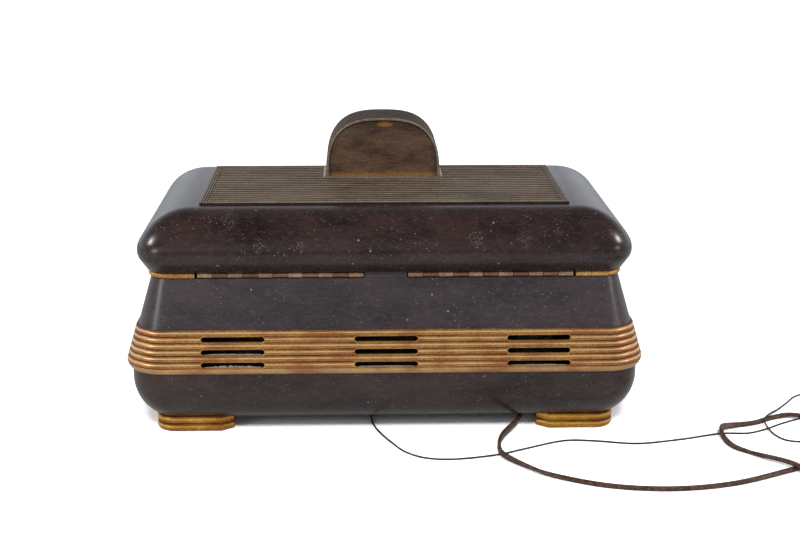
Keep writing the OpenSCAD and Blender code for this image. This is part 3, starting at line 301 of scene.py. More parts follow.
# %% [markdown]
# ## Floor
# The sweep is burnt out to white, but it still takes the radio's shadow. A floor that is brighter than
# white for the camera and through glass, and plain pale for every other ray, keeps the shadow and doesn't
# light the radio from below too much.

# %% Lay the floor
sweep_white = 1.5
sweep_plain = 0.6
floor_half = 8
corners = [(x * floor_half, y * floor_half, 0) for x, y in ((-1, -1), (1, -1), (1, 1), (-1, 1))]
floor_mesh = bpy.data.meshes.new("floor")
floor_mesh.from_pydata(corners, [], [(0, 1, 2, 3)])
floor = bpy.data.objects.new("floor", floor_mesh)
scene.collection.objects.link(floor)
paper = Finish("sweep_paper")
paths = paper.tree.nodes.new("ShaderNodeLightPath")
seen = Wire(paper, paths.outputs["Is Camera Ray"])
seen = seen.maths("MAXIMUM", Wire(paper, paths.outputs["Is Transmission Ray"]))
matte = paper.node("ShaderNodeBsdfDiffuse", {}, {
    "Color": paper.mix((sweep_plain,) * 3 + (1,), (sweep_white,) * 3 + (1,), seen)})
paper.join(paper.tree.nodes["Material Output"].inputs["Surface"], matte)
floor_mesh.materials.append(paper.material)
print("floor is", floor.dimensions.x, "m wide")

# %% [markdown]
# ## Rings and lofts
# Most of this case is one idea: a rounded rectangle, drawn in or out at each height. A piece is then a
# stack of such rings with faces between them. A box with bevels would be quicker, but couldn't follow the
# flare.

# %% Rings and lofts
def plan_ring(half_x, half_y, radius, z, steps=12):
    """A rounded rectangle at height z, anticlockwise from the +X side."""
    ring = []
    for corner in range(4):
        mid_x = (half_x - radius) * (1 if corner in (0, 3) else -1)
        mid_y = (half_y - radius) * (1 if corner < 2 else -1)
        for step in range(steps + 1):
            a = math.radians(90 * (corner + step / steps))
            ring.append((mid_x + radius * math.cos(a), mid_y + radius * math.sin(a), z))
    return ring


def arc(middle, radius, start, end, steps):
    """Points of an arc in a section, from one angle to another in degrees."""
    turns = [math.radians(start + (end - start) * i / steps) for i in range(steps + 1)]
    return [(middle[0] + radius * math.cos(a), middle[1] + radius * math.sin(a)) for a in turns]


def loft(rings, around=False, caps=True):
    """Points and faces of a skin through rings. around joins the last ring to the first."""
    size = len(rings[0])
    faces = []
    for i in range(len(rings) - (0 if around else 1)):
        low = i * size
        high = ((i + 1) % len(rings)) * size
        for k in range(size):
            m = (k + 1) % size
            faces.append((low + k, low + m, high + m, high + k))
    if caps and not around:
        faces.append(tuple(range(size - 1, -1, -1)))
        faces.append(tuple(range((len(rings) - 1) * size, len(rings) * size)))
    return [p for ring in rings for p in ring], faces


def together(*shapes):
    """Several (points, faces) pairs as one."""
    points = []
    faces = []
    for more_points, more_faces in shapes:
        faces += [tuple(i + len(points) for i in face) for face in more_faces]
        points += more_points
    return points, faces


def block(low, high):
    """A box as a (points, faces) pair."""
    ring = [(low[0], low[1]), (high[0], low[1]), (high[0], high[1]), (low[0], high[1])]
    return loft([[(x, y, z) for x, y in ring] for z in (low[2], high[2])])


def half_round(steps):
    """Points of a half round as (how far across, how far up), both from 0 to 1."""
    turns = [math.pi * k / steps for k in range(steps + 1)]
    return [((1 - math.cos(a)) / 2, math.sin(a)) for a in turns]


def turned(profile, centre, axis="Z", steps=32, around=False):
    """A shape turned about an axis through centre, from (radius, along) pairs. around makes it a tube."""
    rings = []
    for radius, along in profile:
        ring = []
        for k in range(steps):
            a = 2 * math.pi * k / steps
            u = max(radius, 0.001) * math.cos(a)
            v = max(radius, 0.001) * math.sin(a)
            offset = {"X": (along, u, v), "Y": (v, along, u), "Z": (u, v, along)}[axis]
            ring.append(tuple(c + o for c, o in zip(centre, offset)))
        rings.append(ring)
    return loft(rings, around)


print("rings, lofts, blocks and turned shapes ready")

# %% [markdown]
# ## Pieces and cuts
# A shape becomes a piece when it rides on one of the frame's bodies and takes its finish, and the CAD
# nodes that it stands for are hidden. Smooth shading with sharp edges above an angle keeps round parts
# round and corners crisp. Holes are cut with a boolean that is applied at once, so the mesh itself has them.

# %% Pieces and cuts
def mesh_of(name, shape, weld=False):
    """A mesh from points in millimetres, with its faces turned outwards."""
    mesh = bpy.data.meshes.new(name)
    mesh.from_pydata([Vector(p) * MM for p in shape[0]], [], shape[1])
    shaper = bmesh.new()
    shaper.from_mesh(mesh)
    if weld:
        bmesh.ops.remove_doubles(shaper, verts=shaper.verts, dist=1e-6)
    bmesh.ops.recalc_face_normals(shaper, faces=shaper.faces)
    shaper.to_mesh(mesh)
    shaper.free()
    return mesh


def make_piece(name, body, shape, finish, stands_for=(), sharp=32):
    """A mesh piece from points in millimetres, on a body, with its finish."""
    mesh = mesh_of(name, shape, weld=True)
    mesh.shade_smooth()
    mesh.set_sharp_from_angle(angle=math.radians(sharp))
    mesh.materials.append(finish.material)
    piece = bpy.data.objects.new(name, mesh)
    scene.collection.objects.link(piece)
    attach(piece, body)
    if stands_for:
        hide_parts(*stands_for)
    return piece


def rounded(piece, width):
    """Rounds a piece's sharp edges by width millimetres."""
    bevel = piece.modifiers.new("rounded", "BEVEL")
    bevel.width = width * MM
    bevel.segments = 2
    bevel.limit_method = "ANGLE"
    bevel.angle_limit = math.radians(35)
    bevel.use_clamp_overlap = True


def cut(piece, shape, name):
    """Takes a shape away from a piece, for good."""
    cutter = bpy.data.objects.new(name, mesh_of(name, shape))
    scene.collection.objects.link(cutter)
    boolean = piece.modifiers.new(name, "BOOLEAN")
    boolean.operation = "DIFFERENCE"
    boolean.solver = "EXACT"
    boolean.object = cutter
    graph = bpy.context.evaluated_depsgraph_get()
    graph.update()
    result = bpy.data.meshes.new_from_object(piece.evaluated_get(graph))
    piece.modifiers.remove(boolean)
    bpy.data.objects.remove(cutter)
    piece.data = result


print("pieces and cuts ready")

# %% [markdown]
# ## Cords come first
# Both cords are free lengths that lie on the table, and they are made before anything else.
# Their points are the same as in the CAD. The mains cord is a flat twin: two cores side by side with a
# shallow valley between them. It could be a curve with a bevel, but a curve can't carry that section on
# edge and lying down, so a mesh is swept along a smooth line through the points.

# %% Routes of the mains cord and the aerial wire
mains_route = [
    (-108, 60, 6.5, 90), (-108, 70, 6.5, 90), (-106, 83, 6, 90), (-101, 97, 5.4, 90),
    (-86, 129, 4.6, 90), (-84, 156, 4.4, 90), (-92, 169, 3.8, 70), (-104, 181, 2.8, 40),
    (-119, 192, 1.8, 10), (-155, 209, 1.4, 0), (-198, 215, 1.4, 0), (-241, 208, 1.4, 0),
    (-281, 190, 1.4, 0), (-312, 172, 1.4, 0), (-339, 143, 2.2, 0), (-344, 125, 3.1, 0),
    (-342, 106, 2.6, 0), (-333, 91, 3.2, 0), (-319, 83, 2.8, 0), (-304, 86, 1.4, 0),
    (-288, 96, 1.6, 0), (-272, 102, 2.4, 15), (-261, 108, 3.8, 50), (-256, 118, 4.8, 85),
    (-256, 131, 3, 90), (-260, 145, 2.4, 65), (-271, 155, 1.8, 20), (-293, 181, 4.4, 0),
    (-302, 197, 3.4, 0), (-315, 209, 1.5, 0), (-334, 214, 1.4, 0), (-358, 210, 1.4, 0),
]
tail_route = [
    (-398, 204.6, 4.6, 0), (-409, 208, 5.4, 0), (-414, 217, 7.2, 0), (-412, 225, 9.4, 0),
    (-406, 227.5, 10.5, 0), (-399, 227.5, 10.5, 0),
]
wire_rest_z = 0.75


def on_table(*spots):
    """Points where the aerial wire lies flat on the table."""
    return [(x, y, wire_rest_z, 0) for x, y in spots]


aerial_route = [(12, 48, 9, 0), (12, 51, 9, 0), (12, 58, 6.6, 0), (12, 65, 3, 0), (11.5, 73, 1, 0)]
aerial_route += on_table(
    (10, 88), (5, 106), (-4, 127), (-14, 145), (-28, 156), (-47, 159), (-83, 151), (-101, 142), (-136, 126),
    (-156, 127), (-189, 133), (-223, 126), (-259, 115), (-278, 115), (-293, 108), (-310, 96), (-340, 78),
    (-353, 66), (-360, 51), (-357, 38), (-348, 33), (-338, 38), (-326, 53),
)
aerial_route += [
    (-314, 70, 2.2, 0), (-303, 84, 3.9, 0), (-296, 95, 3.9, 0), (-295, 107, 2.6, 0), (-297, 119, 1.4, 0),
]
aerial_route += on_table((-303, 129), (-315, 133), (-330, 132), (-346, 127), (-360, 122.5))
coil_gap = 0.45
coil_rings = 24


def coil(middle, radius, turns, layers, width, height, floor_z):
    """A flat coil that spirals in, climbs a layer and spirals out again, with a straight lead at each end."""
    route = []
    for i in range(turns * layers * coil_rings + 1):
        turn = i / coil_rings
        held = min(turn, turns * layers - 0.0001)
        layer = math.floor(held / turns)
        along = held - layer * turns
        inward = turns / 2 - along if layer % 2 == 0 else along - turns / 2
        out = radius + (width + coil_gap) * inward
        climbed = sum(min(1, max(0, 2 * (turn - k * turns) + 0.5)) for k in range(1, layers))
        a = math.radians(90 + 360 * turn)
        route.append((middle[0] + out * math.cos(a), middle[1] + out * math.sin(a),
                      floor_z + (height + coil_gap) * climbed, 0))
    start = route[0]
    end = route[-1]
    return [(start[0] + width, start[1], start[2], 0)] + route + [(end[0] - width, end[1], end[2], 0)]


def lead_in(route, width):
    """A point two widths before a coil's first one, so that the cord runs into the coil straight."""
    return (route[0][0] + 2 * width,) + route[0][1:]


mains_width = 5
mains_height = 2.7
mains_rest_z = 1.4
wire_width = 1.4
mains_coil = coil((-382, 168), 28, 3, 2, mains_width, mains_height, mains_rest_z)
aerial_coil = coil((-373, 110), 7.7, 4, 4, wire_width, wire_width, wire_rest_z)
mains_path = mains_route + [lead_in(mains_coil, mains_width)] + mains_coil + tail_route
aerial_path = aerial_route + [lead_in(aerial_coil, wire_width)] + aerial_coil


def length_of(path):
    """Length of a route in metres, from point to point."""
    return sum((Vector(b[:3]) - Vector(a[:3])).length for a, b in zip(path, path[1:])) * MM


print("mains cord", round(length_of(mains_path), 3), "m, aerial wire", round(length_of(aerial_path), 3), "m")

# %% [markdown]
# ## A section along a smooth line
# A smooth line through the points is a Catmull-Rom spline: each stretch bends by its neighbours. The
# section is carried along it, turned by the tilt that each point gives.

# %% Sweep a section along a smooth line
def smooth_line(path, step):
    """Points about step millimetres apart on a spline through the path."""
    line = []
    for i in range(len(path) - 1):
        p1 = Vector(path[i])
        p2 = Vector(path[i + 1])
        p0 = Vector(path[i - 1]) if i else p1 + (p1 - p2)
        p3 = Vector(path[i + 2]) if i + 2 < len(path) else p2 + (p2 - p1)
        gap_a = max((p1.xyz - p0.xyz).length, 0.01) ** 0.5
        gap_b = max((p2.xyz - p1.xyz).length, 0.01) ** 0.5
        gap_c = max((p3.xyz - p2.xyz).length, 0.01) ** 0.5
        m1 = (p1 - p0) / gap_a - (p2 - p0) / (gap_a + gap_b) + (p2 - p1) / gap_b
        m2 = (p2 - p1) / gap_b - (p3 - p1) / (gap_b + gap_c) + (p3 - p2) / gap_c
        m1 = m1 * gap_b
        m2 = m2 * gap_b
        count = max(1, round((p2.xyz - p1.xyz).length / step))
        for k in range(count):
            t = k / count
            line.append(
                p1 * (2 * t ** 3 - 3 * t ** 2 + 1) + m1 * (t ** 3 - 2 * t ** 2 + t)
                + p2 * (3 * t ** 2 - 2 * t ** 3) + m2 * (t ** 3 - t ** 2)
            )
    line.append(Vector(path[-1]))
    return line


def swept(line, section):
    """A closed skin that carries a section, [(sideways, upwards)], along a line with tilts."""
    rings = []
    for i, point in enumerate(line):
        way = (line[min(i + 1, len(line) - 1)].xyz - line[max(i - 1, 0)].xyz).normalized()
        side = way.cross(Vector((0, 0, 1))).normalized()
        rise = side.cross(way)
        tilt = math.radians(point[3])
        wide = side * math.cos(tilt) + rise * math.sin(tilt)
        thick = rise * math.cos(tilt) - side * math.sin(tilt)
        rings.append([tuple(point.xyz + wide * u + thick * v) for u, v in section])
    return loft(rings)


core_r = mains_height / 2
core_apart = (mains_width - mains_height) / 2
valley_x = core_apart * 0.25
valley_z = core_r * 0.86
twin_section = (
    arc((core_apart, 0), core_r, -70, 70, 6) + [(valley_x, valley_z), (-valley_x, valley_z)]
    + arc((-core_apart, 0), core_r, 110, 250, 6) + [(-valley_x, -valley_z), (valley_x, -valley_z)]
)
round_section = arc((0, 0), wire_width / 2, 0, 324, 9)
print("sections have", len(twin_section), "and", len(round_section), "points")

# %% [markdown]
# ## The two cords
# Old cord covering is dull brown rubber with a little dust on it. The aerial wire is near black, with a
# faint cotton lay. Both finishes are plain noise over a plain colour: the surface is too thin to show more.

# %% Finish and lay the cords
cord_brown = Finish("mains_cord_rubber")
grime = cord_brown.noise(3.0, detail=4)
cord_brown.set(
    base_color=cord_brown.mix(tint(52, 30, 22), tint(104, 74, 56), cord_brown.ramp(grime, 0.35, 0.75)),
    roughness=0.42 + 0.25 * grime,
    normal=cord_brown.bump(cord_brown.noise(0.5), 0.05),
)
wire_black = Finish("aerial_wire_cover")
lay = wire_black.noise(0.8, detail=2)
wire_black.set(
    base_color=wire_black.mix(tint(30, 24, 22), tint(74, 60, 52), wire_black.ramp(lay, 0.4, 0.8)),
    roughness=0.5 + 0.3 * lay,
    normal=wire_black.bump(wire_black.noise(0.3), 0.04),
)
mains_skin = swept(smooth_line(mains_path, 4), twin_section)
mains_cord = make_piece("flat_mains_cord", "base", mains_skin, cord_brown,
                        ("mains_cord", "mains_coil"), sharp=80)
aerial_skin = swept(smooth_line(aerial_path, 3), round_section)
aerial_wire = make_piece("thin_aerial_wire", "base", aerial_skin, wire_black,
                         ("aerial_wire", "aerial_coil"), sharp=80)
print("cords have", len(mains_skin[1]) + len(aerial_skin[1]), "faces")

# %% [markdown]
# ## The plug
# The mains cord ends in a round brown plug with two flat brass blades, a type of the radio's time. Its body
# is one turned profile with a grip ring, and each blade is a flat outline with cut corners and a hole near
# its end.

# %% Plug body and blades
plug_at = tail_route[-1][:3]
plug_profile = [
    (4.2, 0), (4.6, 0.6), (5.0, 2.0), (4.5, 2.6), (5.6, 4.2), (5.1, 4.8), (6.4, 6.4), (7.2, 7.8), (9.4, 8.6),
    (10.4, 9.8), (10.5, 12), (9.9, 13), (9.9, 14), (10.5, 15), (10.5, 24.4), (10.0, 25.6), (9.2, 26),
]
plug_brown = Finish("plug_moulding")
plug_brown.set(
    base_color=plug_brown.mix(tint(38, 24, 18), tint(70, 48, 36), plug_brown.noise(7)),
    roughness=0.26 + 0.2 * plug_brown.noise(3),
    normal=plug_brown.bump(plug_brown.noise(2), 0.02),
)
make_piece("plug_body", "base", turned(plug_profile, plug_at, "X", 40), plug_brown,
           ("mains_plug",), 50)
blade_brass = Finish("blade_brass")
blade_brass.set(
    base_color=blade_brass.mix(tint(150, 116, 66), tint(206, 174, 112), blade_brass.noise(4)),
    metallic=0.9,
    roughness=0.24 + 0.25 * blade_brass.noise(2),
    normal=blade_brass.bump(blade_brass.noise(1), 0.01),
)
blade_off = 6.35
blade_half_t = 0.75
blade_outline = [(25, -3.15), (41.5, -3.15), (42.9, -1.8), (42.9, 1.8), (41.5, 3.15), (25, 3.15)]
blades = []
for side in (-1, 1):
    blades.append(loft([
        [(plug_at[0] + u, plug_at[1] + side * blade_off + t, plug_at[2] + v) for u, v in blade_outline]
        for t in (-blade_half_t, blade_half_t)
    ]))
plug_blades = make_piece("plug_blades", "base", together(*blades), blade_brass)
hole_r = 1.5
hole_along = 39
hole_at = (plug_at[0] + hole_along, plug_at[1], plug_at[2])
cut(plug_blades, turned([(hole_r, -9), (hole_r, 9)], hole_at, "Y", 20), "blade_holes")
print("plug has", len(blades), "blades", 2 * blade_off, "mm apart")

# %% [markdown]
# ## The cords in metres
# A stranger may want to lay a cord another way. Here each route is only turned into metres, and the line
# that is drawn is only one way for a cord to lie.

def in_metres(path):
    return [tuple(c * MM for c in point[:3]) for point in path]


in_metres(mains_path)
in_metres(aerial_path)
print("cords laid")

# %% [markdown]
# ## Lacquer
# The case is metal under dark brown lacquer, still glossy. Eighty years have left it with fine brushing
# along its length, slow clouds of wine and umber, pinprick chips that gather in places, chalky scuffs and
# short scratches. Each of those is one mask, and the masks are laid over the ground colour one after
# another, the way the marks came.

# %% The case's lacquers
def scratches(coat, lean, size, shift):
    """Thin short lines that lean to one side, in clusters."""
    x = coat.axis(0)
    z = coat.axis(2)
    along = x * math.cos(lean) + z * math.sin(lean)
    across = z * math.cos(lean) - x * math.sin(lean)
    line_width = 0.35
    spot = coat.node("ShaderNodeCombineXYZ", {}, {
        0: along / size + shift, 1: across / line_width, 2: coat.axis(1) / size})
    line = coat.node("ShaderNodeTexNoise", {}, {
        "Vector": spot, "Scale": 1.0, "Detail": 1.0, "Roughness": 0.4})
    return coat.ramp(line, 0.75, 0.80) * coat.ramp(coat.noise(17, shift=shift), 0.52, 0.64)


def rubs(coat, places):
    """Chalky rubs at chosen places, each (x, z, reach) in millimetres, made of short broken strokes."""
    x = coat.axis(0)
    z = coat.axis(2)
    near = 0.0 * x
    for at_x, at_z, reach in places:
        off = abs(x - at_x) + abs(z - at_z)
        near = near.maths("MAXIMUM", coat.ramp(off, reach, 0.5 * reach))
    strokes = coat.ramp(coat.noise(1.1, (1.3, 1, 0.5), detail=4, roughness=0.7, shift=61.0), 0.54, 0.68)
    return near * strokes


def lacquer(name, deep, ground, pale, bloom_and_sheen=0.0, scuffs=1.0, places=()):
    """Worn lacquer. bloom_and_sheen is how much of a blue-grey bloom lies on it, partly a real bloom and
    partly a painted sheen, and places are its worst rubs.
    """
    coat = Finish(name)
    clouds = coat.noise(30, (0.6, 1, 1), detail=5, roughness=0.6)
    brushing = coat.noise(0.6, (0.12, 1.0, 1.0), detail=4, roughness=0.7)
    mottle = coat.noise(2.6, (0.45, 1.0, 1.0), detail=5, roughness=0.65, shift=5.0)
    colour = coat.mix(deep, ground, coat.ramp(clouds, 0.32, 0.68))
    rubbed = 0.30 * coat.ramp(brushing, 0.45, 0.85) + 0.34 * coat.ramp(mottle, 0.40, 0.80)
    colour = coat.mix(colour, pale, rubbed)
    veil = coat.ramp(coat.noise(48, (0.5, 1, 1.6), detail=4, shift=7.0), 0.35, 0.7)
    # A blue-grey bloom that also serves as a painted sheen.
    colour = coat.mix(colour, tint(96, 94, 102), bloom_and_sheen * (0.5 + 0.5 * veil))
    patches = coat.ramp(coat.noise(24, (1, 1, 1.4), shift=31.0), 0.57, 0.70)
    chalk = coat.ramp(coat.noise(1.9, (0.5, 1, 1), detail=5, roughness=0.7, shift=3.0), 0.62, 0.74) * patches
    gather = 0.25 + 0.75 * coat.ramp(coat.noise(19, shift=23.0), 0.46, 0.60)
    pinpricks = coat.ramp(coat.cells(3.1, 11.0), 0.16, 0.09) * gather
    chips = coat.ramp(coat.cells(14.0, 2.0), 0.06, 0.045)
    lines = scratches(coat, 0.95, 3.2, 4.0) + scratches(coat, -0.75, 4.0, 9.0)
    marks = scuffs * (0.35 * chalk + 0.6 * pinpricks + 0.8 * chips + 0.5 * lines)
    if places:
        marks = marks + 0.45 * rubs(coat, places)
    colour = coat.mix(colour, tint(158, 148, 142), marks.maths("MINIMUM", 1.0))
    coat.set(
        base_color=colour,
        roughness=0.20 + 0.08 * clouds + 0.08 * bloom_and_sheen + 0.30 * marks + 0.06 * brushing,
        ior_level=0.42,
        normal=coat.bump(0.4 * brushing + 0.6 * coat.noise(9) - 0.5 * pinpricks, 0.03),
    )
    return coat


lid_rubs = [
    (94, 149, 7), (63, 149, 6), (-66, 154, 9), (-103, 154, 10), (116, 166, 9), (-128, 158, 5), (108, 143, 8),
]
body_rubs = [(-84, 103, 3), (-107, 102, 3), (-98, 88, 2.5), (-133, 89, 3), (100, 99, 3)]
bowl_rubs = [(145, 32, 3.2), (-142, 24, 6), (100, 30, 4)]
lid_lacquer = lacquer("lid_lacquer", tint(25, 15, 14), tint(46, 32, 30), tint(78, 60, 56), places=lid_rubs)
body_lacquer = lacquer("body_lacquer", tint(32, 23, 22), tint(52, 40, 40), tint(84, 74, 75), bloom_and_sheen=0.14,
                       scuffs=0.8, places=body_rubs)
bowl_lacquer = lacquer("bowl_lacquer", tint(26, 17, 14), tint(47, 34, 30), tint(80, 62, 56),
                       scuffs=0.7, places=bowl_rubs)
print("lacquers:", lid_lacquer.material.name, body_lacquer.material.name, bowl_lacquer.material.name)

# %% [markdown]
# ## Gilt
# The ribs, feet and beading have a gold wash over brown. The wash has worn to copper where hands and
# dusters reached, it keeps its yellow in patches, and dirt fills every groove. A pale painted highlight runs
# along the upper side of each rib and of each moulding on the feet, and near the case's corners the
# highlights are painted brighter and the grooves darker, as painted light and shade. The mask for the
# grooves comes from the same numbers that shape the ribs, so dirt and shape can't drift apart.

# %% Gilt for the band, the feet and the beading
def gilt(name, dirt_and_shade, copper, gold, groove, crown=None, metal=0.6, pale=tint(236, 206, 156), highlight_strength=0.75):
    """A gold wash. groove and crown are functions that return masks: 1 in the bottom of a groove, and 1 where
    a painted highlight lies on top.
    """
    wash = Finish(name)
    patches = wash.noise(24, (1, 1, 1.5), detail=5)
    fine = wash.noise(1.1, (0.6, 1, 1), detail=5, roughness=0.65)
    streaks = wash.noise(0.9, (0.05, 1.0, 1.0), detail=3, shift=9.0)
    colour = wash.mix(copper, gold, wash.ramp(patches + 0.25 * streaks, 0.50, 0.76))
    rubbed = wash.ramp(fine, 0.35, 0.7)
    colour = wash.mix(colour, dirt_and_shade, 0.58 * (1 - rubbed))
    worn = wash.ramp(wash.noise(11, (0.35, 1, 1.6), detail=4, shift=14.0), 0.40, 0.66)
    # Near the case's corners the painted highlights are brighter and the grooves darker: painted light and
    # shade.
    lit_corners = wash.ramp(abs(wash.axis(0)), 120.0, 172.0)
    low = groove(wash) * (0.40 + 0.60 * worn.maths("MAXIMUM", lit_corners))
    # The painted highlight along the upper side of each rib or moulding.
    high = crown(wash) if crown else 0.0 * fine
    bright = wash.ramp(patches + 0.3 * streaks, 0.35, 0.75).maths("MAXIMUM", lit_corners)
    colour = wash.mix(colour, pale, highlight_strength * high * bright)
    # Dirt in the grooves, deepened near the corners as painted shade.
    colour = wash.mix(colour, dirt_and_shade, 0.92 * low)
    wash.set(
        base_color=colour,
        metallic=metal * (1 - 0.8 * low),
        roughness=0.26 + 0.20 * fine + 0.3 * low,
        normal=wash.bump(fine + 0.6 * streaks, 0.06),
    )
    return wash


seam_z = 53.0
lip_z = 58.6
band_top_z = 86.0
rib_pitch = (band_top_z - lip_z) / 6
lip_middle = (seam_z + lip_z) / 2


def band_phase(wash):
    return wash.fraction((wash.axis(2) - lip_z) / rib_pitch)


def band_groove(wash):
    ribs = wash.ramp(abs(band_phase(wash) - 0.5), 0.30, 0.46)
    lowest = wash.ramp(abs(wash.axis(2) - lip_middle), 2.0, 2.7)
    over_lip = wash.axis(2) > lip_z
    return (over_lip * ribs + (1 - over_lip) * lowest).maths("MINIMUM", 1.0)


# A painted highlight on the upper side of each rib, and a weaker one over the whole lowest rib.
def band_painted_highlight(wash):
    over_lip = wash.axis(2) > lip_z
    return over_lip * wash.ramp(abs(band_phase(wash) - 0.62), 0.16, 0.03) + (1 - over_lip) * 0.4


def no_groove(wash):
    return wash.ramp(wash.noise(5, shift=3.0), 0.66, 0.8)


foot_middle_z = 6.075


def foot_groove(wash):
    foot_z = wash.axis(2)
    middle = wash.ramp(abs(foot_z - foot_middle_z), 2.0, 0.5)
    ends = wash.ramp(foot_z, 1.6, 0.3) + wash.ramp(foot_z, 11.2, 12.4)
    return (middle + ends).maths("MINIMUM", 1.0)


# A painted highlight on the upper side of each moulding of a foot.
def foot_painted_highlight(wash):
    foot_z = wash.axis(2)
    return wash.ramp(abs(foot_z - 4.2), 1.0, 0.1) + wash.ramp(abs(foot_z - 10.1), 1.0, 0.1)


band_gilt = gilt("band_gilt", tint(62, 38, 18), tint(186, 112, 58), tint(208, 148, 76),
                 band_groove, band_painted_highlight)
feet_gilt = gilt("feet_gilt", tint(70, 38, 12), tint(204, 126, 38), tint(240, 172, 58),
                 foot_groove, foot_painted_highlight, metal=0.75, pale=tint(255, 216, 120), highlight_strength=0.55)
bead_gilt = gilt("bead_gilt", tint(80, 52, 28), tint(206, 140, 74), tint(236, 182, 104), no_groove)
hinge_brass = gilt("hinge_brass", tint(70, 50, 40), tint(168, 132, 106), tint(204, 168, 130), no_groove)
hinge_copper = gilt("hinge_copper", tint(60, 40, 32), tint(140, 98, 74), tint(168, 124, 90), no_groove)
print("gilt:", band_gilt.material.name, feet_gilt.material.name, bead_gilt.material.name)

# %% [markdown]
# ## Dull bronze
# The panel and the crest have gone a dull grey-brown. What stands up is paler, with dust and a painted
# highlight, and what lies low is darker as painted shade. Seen at such a flat angle, only the tops of the
# reeds show, so the mask for the pale tops is a height and not a pattern. The plate in the crest keeps a
# little bare gold at its top, and along its foot it is painted warm gold as a reflection of the panel.

# %% Dull bronze for the panel and the crest
def bronze(name, ground, pale, glow, dust_and_highlight, sunk, gold_and_reflection=None):
    """Grey-brown bronze. dust_and_highlight, sunk and gold_and_reflection return masks: pale tops with dust
    and a painted highlight, painted shade in what lies low, and bare gold with a painted reflection.
    """
    skin = Finish(name)
    cloud = skin.noise(26, (0.5, 1, 1), detail=6, roughness=0.65)
    grain = skin.noise(1.3, (0.1, 1, 1), detail=3)
    specks = skin.ramp(skin.noise(1.0, detail=1, shift=17.0), 0.72, 0.8)
    colour = skin.mix(ground, pale, skin.ramp(cloud + 0.3 * grain, 0.48, 0.80))
    colour = skin.mix(colour, glow, 0.5 * skin.ramp(skin.noise(12, shift=21.0), 0.55, 0.8))
    # Bare gold, and warm gold painted as a reflection of the panel.
    if gold_and_reflection:
        colour = skin.mix(colour, tint(190, 138, 66), gold_and_reflection(skin))
    dusty = 0.5 + 0.5 * skin.ramp(skin.noise(1.4, detail=3, shift=41.0), 0.35, 0.65)
    # Pale on what stands up: dust, and a painted highlight.
    colour = skin.mix(colour, tint(186, 168, 142), 0.50 * dusty * dust_and_highlight(skin))
    peppered = skin.ramp(skin.noise(0.9, (0.6, 1, 1), detail=3, roughness=0.7, shift=47.0), 0.50, 0.62)
    colour = skin.mix(colour, tint(40, 28, 20), 0.55 * peppered)
    # Painted shade in what lies low.
    colour = skin.mix(colour, tint(40, 28, 20), 0.9 * sunk(skin))
    colour = skin.mix(colour, tint(184, 172, 150), 0.6 * specks)
    skin.set(base_color=colour, metallic=0.25, roughness=0.50 + 0.2 * cloud, ior_level=0.28,
             normal=skin.bump(grain, 0.04))
    return skin


crown_z = 171.4
crest_back_y = -24.4
crest_top = 50.9
crest_reeds = 7
crest_shell_d = 44.1


# The tops of the reeds, where dust and a painted highlight lie.
def reed_top_highlight(skin):
    return skin.ramp(skin.axis(2), crown_z + 1.58, crown_z + 1.70)


# Painted shade in the valleys between the reeds.
def reed_valley_shade(skin):
    return skin.ramp(skin.axis(2), crown_z + 1.62, crown_z + 1.40)


# A painted highlight along the arch's back lip.
def arch_lip_highlight(skin):
    return skin.ramp(skin.axis(1), crest_back_y - 0.35, crest_back_y - 0.1)


# Painted shade between the arch's reeds, but not on its lip.
def arch_groove_shade(skin):
    reed = skin.fraction((skin.axis(1) - crest_back_y) / (crest_shell_d / crest_reeds))
    return 0.7 * skin.ramp(abs(reed - 0.5), 0.34, 0.48) * (1 - arch_lip_highlight(skin))


# A painted highlight along the plate's side edges.
def plate_edge_highlight(skin):
    return skin.ramp(abs(skin.axis(0)), 44.0, 44.6)


# Painted shade along the plate's sides and under the arch's top.
def plate_edge_shade(skin):
    side_shade = skin.ramp(abs(skin.axis(0)), 40.0, 44.0)
    top_shade = skin.ramp(skin.axis(2), crown_z + 38, crown_z + 47)
    return side_shade * 0.4 + 0.35 * top_shade


def plate_gold_and_reflection(skin):
    up = skin.axis(2) - crown_z
    broken = skin.noise(3.5, (0.6, 1, 1), detail=5, roughness=0.7, shift=5.0)
    # A warm painted reflection of the panel along the plate's foot.
    foot = skin.ramp(up + 9 * broken, 11.5, 5.5)
    # A spot of bare gold near the top.
    spot = skin.ramp(((skin.axis(0) + 1.5) / 6.5) ** 2 + ((up - 45) / 2.2) ** 2 + 1.2 * broken, 2.0, 0.7)
    return 0.5 * foot + 0.55 * spot * (1 - foot)


panel_bronze = bronze("panel_bronze", tint(60, 44, 34), tint(112, 98, 86), tint(156, 110, 60),
                      reed_top_highlight, reed_valley_shade)
crest_bronze = bronze("crest_bronze", tint(54, 42, 34), tint(76, 64, 54), tint(98, 76, 52),
                      arch_lip_highlight, arch_groove_shade)
plate_bronze = bronze("plate_bronze", tint(58, 42, 34), tint(108, 84, 66), tint(150, 102, 58),
                      plate_edge_highlight, plate_edge_shade, plate_gold_and_reflection)
print("bronze:", panel_bronze.material.name, crest_bronze.material.name, plate_bronze.material.name)

# %% [markdown]
# ## Plain finishes
# Screws, tubes, knobs and board are small or hidden. Two tones of noise with a fine bump are enough for
# them, and one function makes each from its two colours, its roughness and the size of its grain.

# %% A plain finish for small pieces
def plain(name, colour, marks, roughness, metal=0.0, size=6.0, grain=(1, 1, 1), depth=0.03):
    """A simple finish: two tones of noise, a little roughness and a fine bump."""
    coat = Finish(name)
    cloud = coat.noise(size, grain, detail=4)
    coat.set(base_color=coat.mix(colour, marks, coat.ramp(cloud, 0.35, 0.8)), metallic=metal,
             roughness=roughness + 0.2 * cloud, normal=coat.bump(cloud, depth))
    return coat


print("plain finishes ready")

